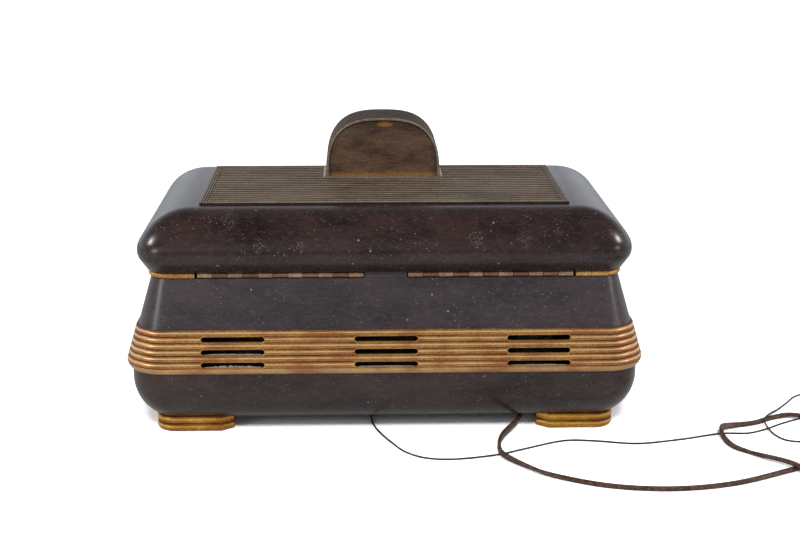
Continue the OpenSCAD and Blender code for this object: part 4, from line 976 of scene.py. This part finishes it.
# %% [markdown]
# ## The body
# The upper body is a thin metal wall that flares from the waist to the band, with a flange inside its rim.
# Each point of its section is an offset from the waist and a height, and the offset drives the ring's size
# and corner together.

# %% Upper body and its slots
waist_x = 176.75
waist_y = 101
waist_r = 15
flare = 0.294
rim_z = 123.1
mid_wall_z = 90
rim_round = 0.4
bowl_out = 16.2
wall = 1.6
corner_steps = 18
corner_grow = 0.7


def body_ring(out, z):
    """A ring that stands out of the waist by out. Its corners grow less than the flare does."""
    radius = max(0.3, waist_r + (corner_grow if out > 0 else 1) * out)
    return plan_ring(waist_x + out, waist_y + out, radius, z, corner_steps)


def wall_out(z):
    """How far the wall stands out of the waist at height z."""
    if z >= lip_z:
        return flare * (rim_z - z)
    return bowl_out + (wall_out(lip_z) - bowl_out) * (z - seam_z) / (lip_z - seam_z)


slot_l = 47.4
slot_h = 4.3
slot_play = 0.25
slot_rows = [lip_z + rib_pitch * (row + 0.5) for row in (0, 2, 4)]
slot_columns = (-114.6, 0, 114.6)


def slot_outline(x, z, grow):
    """Outline of a slot at (x, z), larger by grow all round."""
    half = (slot_l - slot_h) / 2
    radius = slot_h / 2 + grow
    return arc((x + half, z), radius, -90, 90, 12) + arc((x - half, z), radius, 90, 270, 12)


back_reach = (80, 140)
front_reach = (-140, -80)
slots = together(*[
    loft([[(px, y, pz) for px, pz in slot_outline(x, z, slot_play)] for y in reach])
    for x in slot_columns for z in slot_rows for reach in (back_reach, front_reach)
])
upper_section = [
    (bowl_out, seam_z), (wall_out(lip_z), lip_z), (wall_out(mid_wall_z), mid_wall_z),
    (wall_out(rim_z - rim_round), rim_z - rim_round),
    (-rim_round, rim_z), (-waist_r, rim_z), (-waist_r, rim_z - wall), (-wall, rim_z - wall),
    (wall_out(lip_z) - wall, lip_z), (bowl_out - wall, seam_z),
]
gap_edge_half = 15.9
gap_edge_t = 2.1
gap_edge_top = 127.4
gap_edge = block((-gap_edge_half, waist_y - gap_edge_t, rim_z + 0.02), (gap_edge_half, waist_y, gap_edge_top))
upper_shape = together(loft([body_ring(*q) for q in upper_section], around=True), gap_edge)
upper_body = make_piece("flared_body", "base", upper_shape, body_lacquer, ("upper_body",))
cut(upper_body, slots, "slots")
print("upper body has", len(upper_body.data.polygons), "faces and", len(slot_rows) * 6, "slots")

# %% [markdown]
# ## The ribbed band
# Seven half-round ribs run round the body, the lowest one wider where the wall turns in. Nine slots at the
# back cut through every second rib, and nine more at the front. A bump map would do from far away, but the
# ribs make the case's outline, so they are real.

# %% Seven ribs round the case
strip = 0.5
rib_height = 1.1


def rib(low, high, steps):
    """Section of one half-round rib from height low to high."""
    points = []
    for across, up in half_round(steps)[:-1]:
        z = low + (high - low) * across
        points.append((wall_out(z) + strip + rib_height * up, z))
    return points


rib_section = rib(seam_z, lip_z, 14)
for k in range(6):
    rib_section += rib(lip_z + rib_pitch * k, lip_z + rib_pitch * (k + 1), 12)
rib_section += [
    (wall_out(band_top_z) + strip, band_top_z), (wall_out(band_top_z) + 0.02, band_top_z),
    (wall_out(lip_z) + 0.02, lip_z), (wall_out(seam_z) + 0.02, seam_z),
]
band = make_piece("gilt_band", "base", loft([body_ring(*q) for q in rib_section], around=True),
                  band_gilt, ("ribbed_band",), sharp=50)
cut(band, slots, "slots")
print("band has", len(rib_section), "points in its section and", len(band.data.polygons), "faces")

# %% [markdown]
# ## Rims of the slots
# A smooth rim lines each slot and shows as a thin bright line. It stands up from the wall almost as high as
# the ribs and runs back through it. A flat outline pushed straight out would leave the leaning wall at one
# edge, so each point of the rim asks the wall how far out it stands at that height.

# %% Rims of the slots
rim_levels = ((0.6, 0.2), (0.55, 1.2), (0.35, 1.4), (0.1, 1.3), (0.0, 1.0), (0.0, -wall))


def slot_rim(x, z, side):
    """A thin rounded lip along a slot's edge. side is 1 at the back and -1 at the front."""
    return loft([
        [(px, side * (waist_y + wall_out(pz) + rise), pz) for px, pz in slot_outline(x, z, grow)]
        for grow, rise in rim_levels
    ], caps=False)


rims = together(*[slot_rim(x, z, side) for side in (1, -1) for x in slot_columns for z in slot_rows])
make_piece("slot_rims", "base", rims, bead_gilt, sharp=60)
print("slots are", slot_l, "by", slot_h, "mm")

# %% [markdown]
# ## Lint in the slots
# Grey lint has settled on the lower edge of some slots, mostly at the left. Each heap is a ridge whose
# height is drawn at random along it. The draws start from a fixed number, so every run gives the same lint.

# %% Lint in the slots
lint_grey = plain("slot_lint", tint(150, 138, 122), tint(70, 58, 48), 0.9, 0.0, 0.8, (1, 1, 1), 0.3)
dust = random.Random(7)
right_x, middle_x, left_x = slot_columns
heaps = (
    (left_x, slot_rows[0], 1.7), (left_x, slot_rows[1], 0.9),
    (middle_x, slot_rows[0], 0.8), (right_x, slot_rows[0], 1.1),
)
lint_steps = 46
lint_l = slot_l - 5
tufts = []
for x, z, heap in heaps:
    rings = []
    for k in range(lint_steps + 1):
        px = x + (k / lint_steps - 0.5) * lint_l
        top = 0.15 + heap * abs(math.sin(math.pi * k / lint_steps)) ** 0.5 * dust.uniform(0.3, 1.0)
        y = waist_y + wall_out(z) - 0.9 + dust.uniform(-0.2, 0.2)
        low = z - slot_h / 2 + 0.02
        foot = [(px, y - 0.5, low), (px, y + 0.5, low)]
        rings.append(foot + [(px, y + 0.15, low + top), (px, y - 0.15, low + top)])
    tufts.append(loft(rings))
make_piece("slot_lint", "base", together(*tufts), lint_grey)
print("lint lies in", len(tufts), "slots")

# %% [markdown]
# ## The bowl
# Below the band the case turns in on one large radius to a flat floor with an opening in it. The skin runs
# down the inside, round the opening and back up the outside, so the bowl is a closed shell with a real
# wall.

# %% The bowl
bowl_r = 38
bowl_arc_z = 44.7
foot_h = 12.5
bowl_middle = (bowl_out - bowl_r, bowl_arc_z)
floor_angle = math.degrees(math.asin((bowl_arc_z - foot_h) / bowl_r))
inner_angle = math.degrees(math.asin((bowl_arc_z - foot_h - wall) / (bowl_r - wall)))
opening_x = 136.75
opening_y = 61
bowl_section = [(bowl_out, seam_z), (bowl_out - wall, seam_z)]
bowl_section += arc(bowl_middle, bowl_r - wall, 0, -inner_angle, 20)
bowl_rings = [body_ring(*q) for q in bowl_section]
bowl_rings += [plan_ring(opening_x, opening_y, 0.3, z, corner_steps) for z in (foot_h + wall, foot_h)]
bowl_rings += [body_ring(*q) for q in arc(bowl_middle, bowl_r, -floor_angle, 0, 20)]
bowl_shape = loft(bowl_rings, around=True)
bowl = make_piece("rounded_bowl", "base", bowl_shape, bowl_lacquer, ("lower_bowl",))
print("bowl has", len(bowl.data.polygons), "faces")

# %% [markdown]
# ## Block feet
# Each foot is a cast block with one round outer corner, two cut-off corners and a groove round its middle,
# so it reads as two fat mouldings. The plan is drawn in and out by a few millimetres to make them.

# %% Four feet
foot_l = 60
foot_d = 46
foot_cut = 9.3
foot_cut_d = foot_cut * 0.71
foot_round = 15


def foot_plan(inset):
    """Outline of a foot, drawn in by inset. Its outer corner is at the origin."""
    cut_length = math.hypot(foot_cut, foot_cut_d)
    along = (1 - foot_cut / cut_length) / (foot_cut_d / cut_length) * inset
    back = (1 - foot_cut_d / cut_length) / (foot_cut / cut_length) * inset
    return arc((foot_round, foot_round), foot_round - inset, 180, 270, 14) + [
        (foot_l - foot_cut - along, inset), (foot_l - inset, foot_cut_d + back),
        (foot_l - inset, foot_d - foot_cut_d - back), (foot_l - foot_cut - along, foot_d - inset),
        (foot_cut_d + back, foot_d - inset), (inset, foot_d - foot_cut - along),
    ]


def ridge(low, high, start_in, end_in, steps=14):
    """Levels of one round moulding, as (inset, height)."""
    levels = []
    for across, up in half_round(steps):
        inset = start_in if across < 0.5 else end_in
        levels.append((inset * (1 - up), low + (high - low) * across))
    return levels


foot_levels = [(1.9, 0)] + ridge(0.3, 5.875, 1.9, 1.6) + ridge(6.275, foot_h, 1.6, 2.2)
foot_corner_x = waist_x + 0.5
foot_corner_y = waist_y - 0.5
well_x = 153.25
well_y = 77.5
well_r = 4.1
foot_edge_r = 0.35
for name, side_x, side_y in (("foot_back_left", 1, 1), ("foot_back_right", -1, 1),
                             ("foot_front_left", 1, -1), ("foot_front_right", -1, -1)):
    rings = [[(side_x * (foot_corner_x - x), side_y * (foot_corner_y - y), z) for x, y in foot_plan(inset)]
             for inset, z in foot_levels]
    foot = make_piece("block_" + name, "base", loft(rings), feet_gilt, (name,), sharp=40)
    cut(foot, turned([(well_r, -1), (well_r, 8)], (side_x * well_x, side_y * well_y, 0)), "screw_well")
    rounded(foot, foot_edge_r)
print("four feet,", foot_h, "mm high")

# %% [markdown]
# ## Beading
# A half-round beading covers the joint between base and lid, apart from the back, where the hinges lie.
# There it ends in two short lengths that are each cut once, as if pieced. It is the body's ring again, with
# a small section.

# %% Beading along the joint
bead_r = 2.3
bead_middle = (-0.3, 125.4)
bead_section = arc(bead_middle, bead_r, -90, 90, 14) + [(-1.3, 127.7), (-1.3, 123.1)]
bead_shape = loft([body_ring(*q) for q in bead_section], around=True)
beading = make_piece("rim_beading", "base", bead_shape, bead_gilt, ("rim_moulding",))
gap_half = 142.6
slit_x = 154.6
slit_half = 0.15
under_z = 120
over_z = 130
slits = [block((s * slit_x - slit_half, 93, under_z), (s * slit_x + slit_half, 110, over_z)) for s in (-1, 1)]
middle_gap = block((-gap_half, 0, under_z), (gap_half, 140, over_z))
cut(beading, together(middle_gap, *slits), "gaps")
print("beading stops", gap_half, "mm from the middle of the back")

# %% [markdown]
# ## Piano hinges
# Two long hinges join lid and base. Their leaves ride on different bodies, and every second knuckle belongs
# to the lid, so the joint shows that it works when the lid opens. The lid's knuckles are a touch thinner
# and more coppery.

# %% Hinge leaves with their knuckles
hinge_from = 16.6
hinge_l = 124.1
knuckles = 11
hinge_y = 101
hinge_z = 125.55
barrel_r = 2.15
knuckle_pitch = hinge_l / knuckles
hinge_gap = 0.3
leaf_t = 0.9
leaf_front_y = 88
leaf_back_y = 98.5
tongue_y = hinge_y - 1.4
lid_leaf_z = 127.1
lid_barrel_less = 0.22
pin_bore_r = 1.05
knuckle_steps = 28


def knuckle(x0, x1, outer_r):
    """One rolled knuckle: a tube with softened ends."""
    soft = 0.25
    profile = [(pin_bore_r, x0), (outer_r - soft, x0), (outer_r, x0 + soft), (outer_r, x1 - soft),
               (outer_r - soft, x1), (pin_bore_r, x1)]
    return turned(profile, (0, hinge_y, hinge_z), "X", knuckle_steps, around=True)


for side, side_name in ((1, "left"), (-1, "right")):
    for body, first, leaf_z in (("base", 0, rim_z), ("lid", 1, lid_leaf_z)):
        leaf_top = leaf_z + leaf_t
        x_a, x_b = sorted((side * hinge_from, side * (hinge_from + hinge_l)))
        shapes = [block((x_a, leaf_front_y, leaf_z), (x_b, leaf_back_y, leaf_top))]
        for k in range(first, knuckles, 2):
            near_x = hinge_from + k * knuckle_pitch + hinge_gap / 2
            far_x = hinge_from + (k + 1) * knuckle_pitch - hinge_gap / 2
            x_a, x_b = sorted((side * near_x, side * far_x))
            shapes.append(knuckle(x_a, x_b, barrel_r - lid_barrel_less * first))
            shapes.append(block((x_a, leaf_back_y - 0.1, leaf_z), (x_b, tongue_y, leaf_top)))
        hinge_name = "hinge_" + body + "_" + side_name
        make_piece("piano_" + hinge_name, body, together(*shapes),
                   hinge_copper if first else hinge_brass, (hinge_name,))
print("two hinges of", knuckles, "knuckles")

# %% [markdown]
# ## The lid
# The lid tucks in under a round nose, rises over a shoulder and runs out flat. Its corners are round at the
# nose and nearly sharp on top, which makes the long hip line at each corner. The section is three arcs,
# worked out so that they meet without a kink.

# %% Lid shell
nose_x = 186.75
nose_y = 111.0
nose_corner_r = 25.0
lid_z = 128.0
nose_z = 142.0
crown_in = 38.4
crown_h = crown_z - nose_z
shoulder_r = 17
tuck_r = 11
tuck_slope = 34
crown_corner_r = 3
crown_r = ((crown_in - shoulder_r) ** 2 + crown_h ** 2 - shoulder_r ** 2) / (2 * (crown_h - shoulder_r))
join_angle = math.degrees(math.atan2(crown_r - crown_h, crown_in - shoulder_r))
tuck_in = tuck_r * (1 - math.cos(math.radians(tuck_slope)))
tuck_z = nose_z - tuck_r * math.sin(math.radians(tuck_slope))
edge_in = tuck_in + (tuck_z - lid_z) * math.tan(math.radians(tuck_slope))


def lid_section(inward):
    """(distance in from the nose, height) from the lower edge up to the flat top."""
    tuck = arc((tuck_r, nose_z), tuck_r - inward, 180 + tuck_slope, 180, 7)
    shoulder = arc((shoulder_r, nose_z), shoulder_r - inward, 180, 180 - join_angle, 10)
    crown = arc((crown_in, crown_z - crown_r), crown_r - inward, 180 - join_angle, 90, 12)
    return [(edge_in + inward, lid_z + inward)] + tuck[:-1] + shoulder[:-1] + crown


def lid_ring(inward, z):
    """A ring of the lid. Above the nose its corners grow sharper on the way to the flat top."""
    radius = nose_corner_r - inward
    if z > nose_z:
        radius = max(0.6, nose_corner_r - inward * (nose_corner_r - crown_corner_r) / crown_in)
    return plan_ring(nose_x - inward, nose_y - inward, radius, z, corner_steps)


flange_in = edge_in + 15
edge_soft = 0.35
outer = lid_section(0)
outer = [(edge_in + edge_soft, lid_z), (edge_in - 0.2, lid_z + edge_soft)] + outer[1:]
lid_rings = [lid_ring(*q) for q in reversed(lid_section(wall))]
lid_rings += [lid_ring(flange_in, lid_z + wall), lid_ring(flange_in, lid_z)]
lid_rings += [lid_ring(*q) for q in outer]
make_piece("domed_lid", "lid", loft(lid_rings), lid_lacquer, ("lid_shell",), sharp=40)
print("lid's shoulder meets its crown at", round(join_angle, 1), "degrees")

# %% [markdown]
# ## The ribbed panel
# A cast panel lies on the lid: a frame of fine nested mouldings with mitred corners, round nineteen
# straight reeds. The frame is a loft of rectangles, so the mitres come by themselves.

# %% Panel frame and reeds
panel_hx = 141.25
panel_hy = 69.6
panel_y = -2.1
frame_section = [
    (0, 0.02), (0, 1.2), (0.5, 1.75), (1.3, 1.8), (1.7, 1.25), (2.1, 1.25), (2.4, 1.7), (3.1, 1.78),
    (3.5, 1.2), (3.9, 1.2), (4.2, 1.6), (5.0, 1.7), (5.6, 1.0), (6.4, 1.0), (6.4, 0.02),
]
frame_rings = []
for inward, height in frame_section:
    ring = plan_ring(panel_hx - inward, panel_hy - inward, 0.6, crown_z + height, 3)
    frame_rings.append([(x, y + panel_y, z) for x, y, z in ring])
reed_count = 19
reed_border = 6
reed_base = 1.0
reed_rise = 0.72
reed_pitch = (2 * panel_hy - 2 * reed_border) / reed_count
reed_start = panel_y - panel_hy + reed_border
reed_end = panel_y + panel_hy - reed_border
reed_section = []
for reed in range(reed_count):
    for across, up in half_round(8)[:-1]:
        y = reed_start + reed_pitch * (reed + 0.06 + 0.88 * across)
        reed_section.append((y, crown_z + reed_base + reed_rise * up))
reed_section += [(reed_end, crown_z + 0.98), (reed_end, crown_z + 0.04), (reed_start, crown_z + 0.04)]
reeds = loft([[(x, y, z) for y, z in reed_section] for x in (reed_border - panel_hx, panel_hx - reed_border)])
panel_shape = together(loft(frame_rings, around=True), reeds)
make_piece("reeded_panel", "lid", panel_shape, panel_bronze, ("lid_panel",))
print("panel has", reed_count, "reeds")

# %% [markdown]
# ## The crest
# The crest is the lid's handle: a hollow arch of seven reeds on top of the panel, closed at the back by a
# plain plate that lies a little inside it. The arch is neither a circle nor a box. A superellipse gives the
# flat crown and the full shoulders with one exponent.

# %% Crest arch and its plates
crest_half = 47
crest_wall = 2.2
crest_floor = 2
crest_power = 0.70
arch_steps = 56


def arch_ring(half, height, y, z):
    """The arch's outline at a depth y, from the +X foot over the top to the -X foot."""
    ring = []
    for i in range(arch_steps + 1):
        a = math.pi * i / arch_steps
        c = math.cos(a)
        x = math.copysign(abs(c) ** crest_power, c) * half
        ring.append((x, y, z + height * math.sin(a) ** crest_power))
    return ring


reed_d = crest_shell_d / crest_reeds
crest_reed_rise = 0.75
lip_in = 1.3
crest_rings = []
inner_h = crest_top - crest_wall - crest_floor
for y, base in ((crest_back_y - crest_shell_d + crest_wall, crest_floor), (crest_back_y, crest_floor)):
    crest_rings.append(arch_ring(crest_half - crest_wall, inner_h, y, crown_z + base))
crest_rings.append(arch_ring(crest_half - lip_in, crest_top - lip_in, crest_back_y, crown_z))
for reed in range(crest_reeds):
    for across, up in half_round(8):
        drop = crest_reed_rise * (1 - up ** 0.6)
        y = crest_back_y - reed_d * (reed + across)
        crest_rings.append(arch_ring(crest_half - drop, crest_top - drop, y, crown_z))
make_piece("crest_arch", "lid", loft(crest_rings), crest_bronze, ("crest_shell",), sharp=45)
plate_play = 0.05
plate_half = crest_half - crest_wall - plate_play
plate_h = inner_h - plate_play
plate_rings = [arch_ring(plate_half - drop, plate_h - drop, crest_back_y - sunk, crown_z + crest_floor)
               for drop, sunk in ((0, 3.1), (0, 1.9), (0.3, 1.6))]
make_piece("crest_back_panel", "lid", loft(plate_rings), plate_bronze, ("crest_back_plate",))
print("crest stands", crest_top, "mm over the lid")

# %% [markdown]
# ## Fillets at the crest's feet
# The crest doesn't meet the panel in a hard corner: a small hollow fillet runs along each foot. A bevel on
# the crest would round the wrong edge, so the fillet is a piece of its own: a hollow section pushed along
# the foot, once to each side.

# %% Fillets at the crest's feet
fillets = []
panel_top = crown_z + 1.7
fillet_w = 2.8
for side in (-1, 1):
    turns = [math.radians(a) for a in (18, 36, 54, 72, 86)]
    hollow = [(0, 0.02), (fillet_w, 0.02), (fillet_w, 0.35)]
    hollow += [(fillet_w - 2.3 * math.sin(a), 0.35 + fillet_w * (1 - math.cos(a))) for a in turns]
    hollow.append((0, 3.1))
    rings = [[(side * (crest_half - 0.5 + u), y, panel_top - 0.35 + v) for u, v in hollow]
             for y in (crest_back_y - 0.6, crest_back_y - crest_shell_d + 3)]
    fillets.append(loft(rings))
make_piece("crest_fillets", "lid", together(*fillets), hinge_brass)
print("two fillets under the crest")

# %% [markdown]
# ## Dial
# The dial is a card that turns under the window. Its numbers are real letters turned into a mesh that
# stands a trace above the card, because a picture of them isn't allowed to be the surface here. A thin red
# line over the dial shows the reading.

# %% Numbers on the dial
dial_mid_y = 5
dial_top_z = 116.5
ink = plain("dial_ink", tint(58, 34, 24), tint(84, 52, 36), 0.5, 0.0, 3)
tick_half = 0.35
tick_out_r = 50
number_r = 40
numbers = (
    ("55", 8), ("60", 28), ("70", 52), ("85", 80), ("105", 106), ("130", 132), ("150", 154), ("170", 174),
)
marks = []
for step in range(37):
    a = math.radians(90 - 5 * step)
    tick_in_r = 46.5 if step % 2 else 45
    u = (math.cos(a), math.sin(a))
    v = (-u[1], u[0])
    ring = [(u[0] * r + v[0] * w, dial_mid_y + u[1] * r + v[1] * w)
            for r, w in ((tick_in_r, -tick_half), (tick_out_r, -tick_half), (tick_out_r, tick_half),
                         (tick_in_r, tick_half))]
    marks.append(loft([[(x, y, z) for x, y in ring] for z in (dial_top_z - 0.02, dial_top_z + 0.12)]))
for number, turn in numbers:
    curve = bpy.data.curves.new("number", "FONT")
    curve.body = number
    curve.size = 7.5
    curve.extrude = 0.07
    curve.resolution_u = 3
    curve.align_x = "CENTER"
    curve.align_y = "CENTER"
    letters = bpy.data.objects.new("number", curve)
    scene.collection.objects.link(letters)
    graph = bpy.context.evaluated_depsgraph_get()
    graph.update()
    outline = bpy.data.meshes.new_from_object(letters.evaluated_get(graph))
    a = math.radians(90 - turn)
    spin = math.radians(-turn)
    middle = (number_r * math.cos(a), dial_mid_y + number_r * math.sin(a))
    points = [(middle[0] + p.co.x * math.cos(spin) - p.co.y * math.sin(spin),
               middle[1] + p.co.x * math.sin(spin) + p.co.y * math.cos(spin),
               dial_top_z + 0.05 + p.co.z) for p in outline.vertices]
    marks.append((points, [tuple(face.vertices) for face in outline.polygons]))
    bpy.data.objects.remove(letters)
make_piece("dial_numbers", "dial", together(*marks), ink, sharp=30)
hair = block((-0.35, 15.5, 120.2), (0.35, 48, 120.5))
hair_red = plain("hairline_red", tint(150, 30, 20), tint(110, 22, 16), 0.4)
make_piece("dial_hairline", "base", hair, hair_red)
print("dial has", len(marks), "marks")

# %% [markdown]
# ## Knobs
# The two knobs are turned from a profile, and each level also says how deep the flutes are there, from none
# on the skirt to full on the side. A pale pointer on top shows how far a knob has turned.

# %% Fluted knobs
knob_low = 126.0
drive_x = 39.949
drive_y = -42.610
flute_count = 18
flute_depth = 0.8
knob_steps = 12 * flute_count
knob_levels = [
    (13.6, 0, 0), (14, 0.4, 0), (14, 2.4, 0), (13.5, 3, 0), (12.6, 3.2, 0.2), (12.5, 3.8, 1), (12.4, 11.6, 1),
    (11.8, 13, 0.8), (10.9, 14.3, 0.3), (9.6, 15, 0), (8.6, 14.9, 0), (7.4, 14.2, 0), (0.01, 13.9, 0),
]


def knob(x):
    """A turned knob with flutes in its side."""
    rings = []
    for radius, height, flute in knob_levels:
        ring = []
        for k in range(knob_steps):
            a = 2 * math.pi * k / knob_steps
            r = radius - flute_depth * flute * max(0.0, math.cos(flute_count * a)) ** 0.7
            ring.append((x + r * math.cos(a), drive_y + r * math.sin(a), knob_low + height))
        rings.append(ring)
    return loft(rings)


for name, body, x in (("tuning_knob", "tuning", drive_x), ("volume_knob", "volume", -drive_x)):
    moulding = plain(name + "_moulding", tint(50, 26, 18), tint(84, 48, 32), 0.16, 0.0, 10, (1, 1, 1), 0.01)
    make_piece("fluted_" + name, body, knob(x), moulding, (name,), sharp=30)
    paint = plain(name + "_paint", tint(224, 206, 166), tint(180, 160, 120), 0.5)
    pointer = block((x - 0.5, drive_y + 3.5, knob_low + 13.7), (x + 0.5, drive_y + 9.5, knob_low + 14.95))
    make_piece(name + "_pointer", body, pointer, paint)
print("two fluted knobs")

# %% [markdown]
# ## Carried-over pieces
# Everything inside and under the case, and the gilt parts of the dial and the crest's front, keep their CAD
# meshes, which are already right. Each slot of the record gets its finish, and two nodes get one of their
# own.

# %% Finishes for the inner pieces
brown_moulding = plain("brown_moulding", tint(56, 30, 20), tint(84, 50, 34), 0.22, 0.0, 12)
lens = Finish("dial_lens")
lens.set(base_color=tint(250, 232, 180), roughness=0.05, alpha=0.10)
slot_finish = {
    "case_lacquer": lid_lacquer, "band_gilt": bead_gilt, "feet_gilt": feet_gilt, "crest_bronze": crest_bronze,
    "hinge_brass": hinge_brass, "dial_lens": lens, "mains_rubber": cord_brown, "aerial_cover": wire_black,
    "brown_plastic": brown_moulding, "plug_moulding": brown_moulding,
    "plain_steel": plain("dull_steel", tint(150, 150, 146), tint(98, 94, 88), 0.34, 0.9),
    "tinned_steel": plain("tin_plate", tint(160, 160, 156), tint(112, 108, 100), 0.38, 0.85, 14),
    "can_aluminium": plain("spun_aluminium", tint(186, 186, 184), tint(140, 138, 134), 0.34, 0.9, 10),
    "tube_enamel": plain("black_enamel", tint(28, 28, 28), tint(52, 50, 48), 0.28, 0.0, 9),
    "soft_rubber": plain("black_rubber", tint(34, 31, 29), tint(58, 54, 50), 0.62, 0.0, 2),
    "dial_card": plain("dial_card", tint(244, 226, 176), tint(222, 194, 138), 0.55, 0.0, 18),
    "baffle_board": plain("baffle_board", tint(116, 84, 54), tint(82, 58, 38), 0.7, size=4,
                          grain=(0.08, 1, 1), depth=0.15),
    "speaker_cloth": plain("speaker_cloth", tint(140, 112, 72), tint(88, 66, 40), 0.85, size=0.9, depth=0.2),
    "cone_paper": plain("cone_paper", tint(62, 56, 50), tint(38, 35, 32), 0.85, 0.0, 3),
    "wax_paper": plain("wax_paper", tint(188, 158, 108), tint(142, 108, 66), 0.45, 0.0, 8),
}
own_finish = {"dial_escutcheon": bead_gilt, "crest_front_plate": bead_gilt}
for part in frame["record"]["subparts"]:
    carried = frame["nodes"][part["node"]]
    finish = own_finish.get(part["node"], slot_finish[part["material_slot"]])
    if carried.material_slots:
        for holder in carried.material_slots:
            holder.material = finish.material
    else:
        carried.data.materials.append(finish.material)

# %% [markdown]
# ## The end
# Every piece now has its shape and its finish.


print("every piece has its shape and its finish")
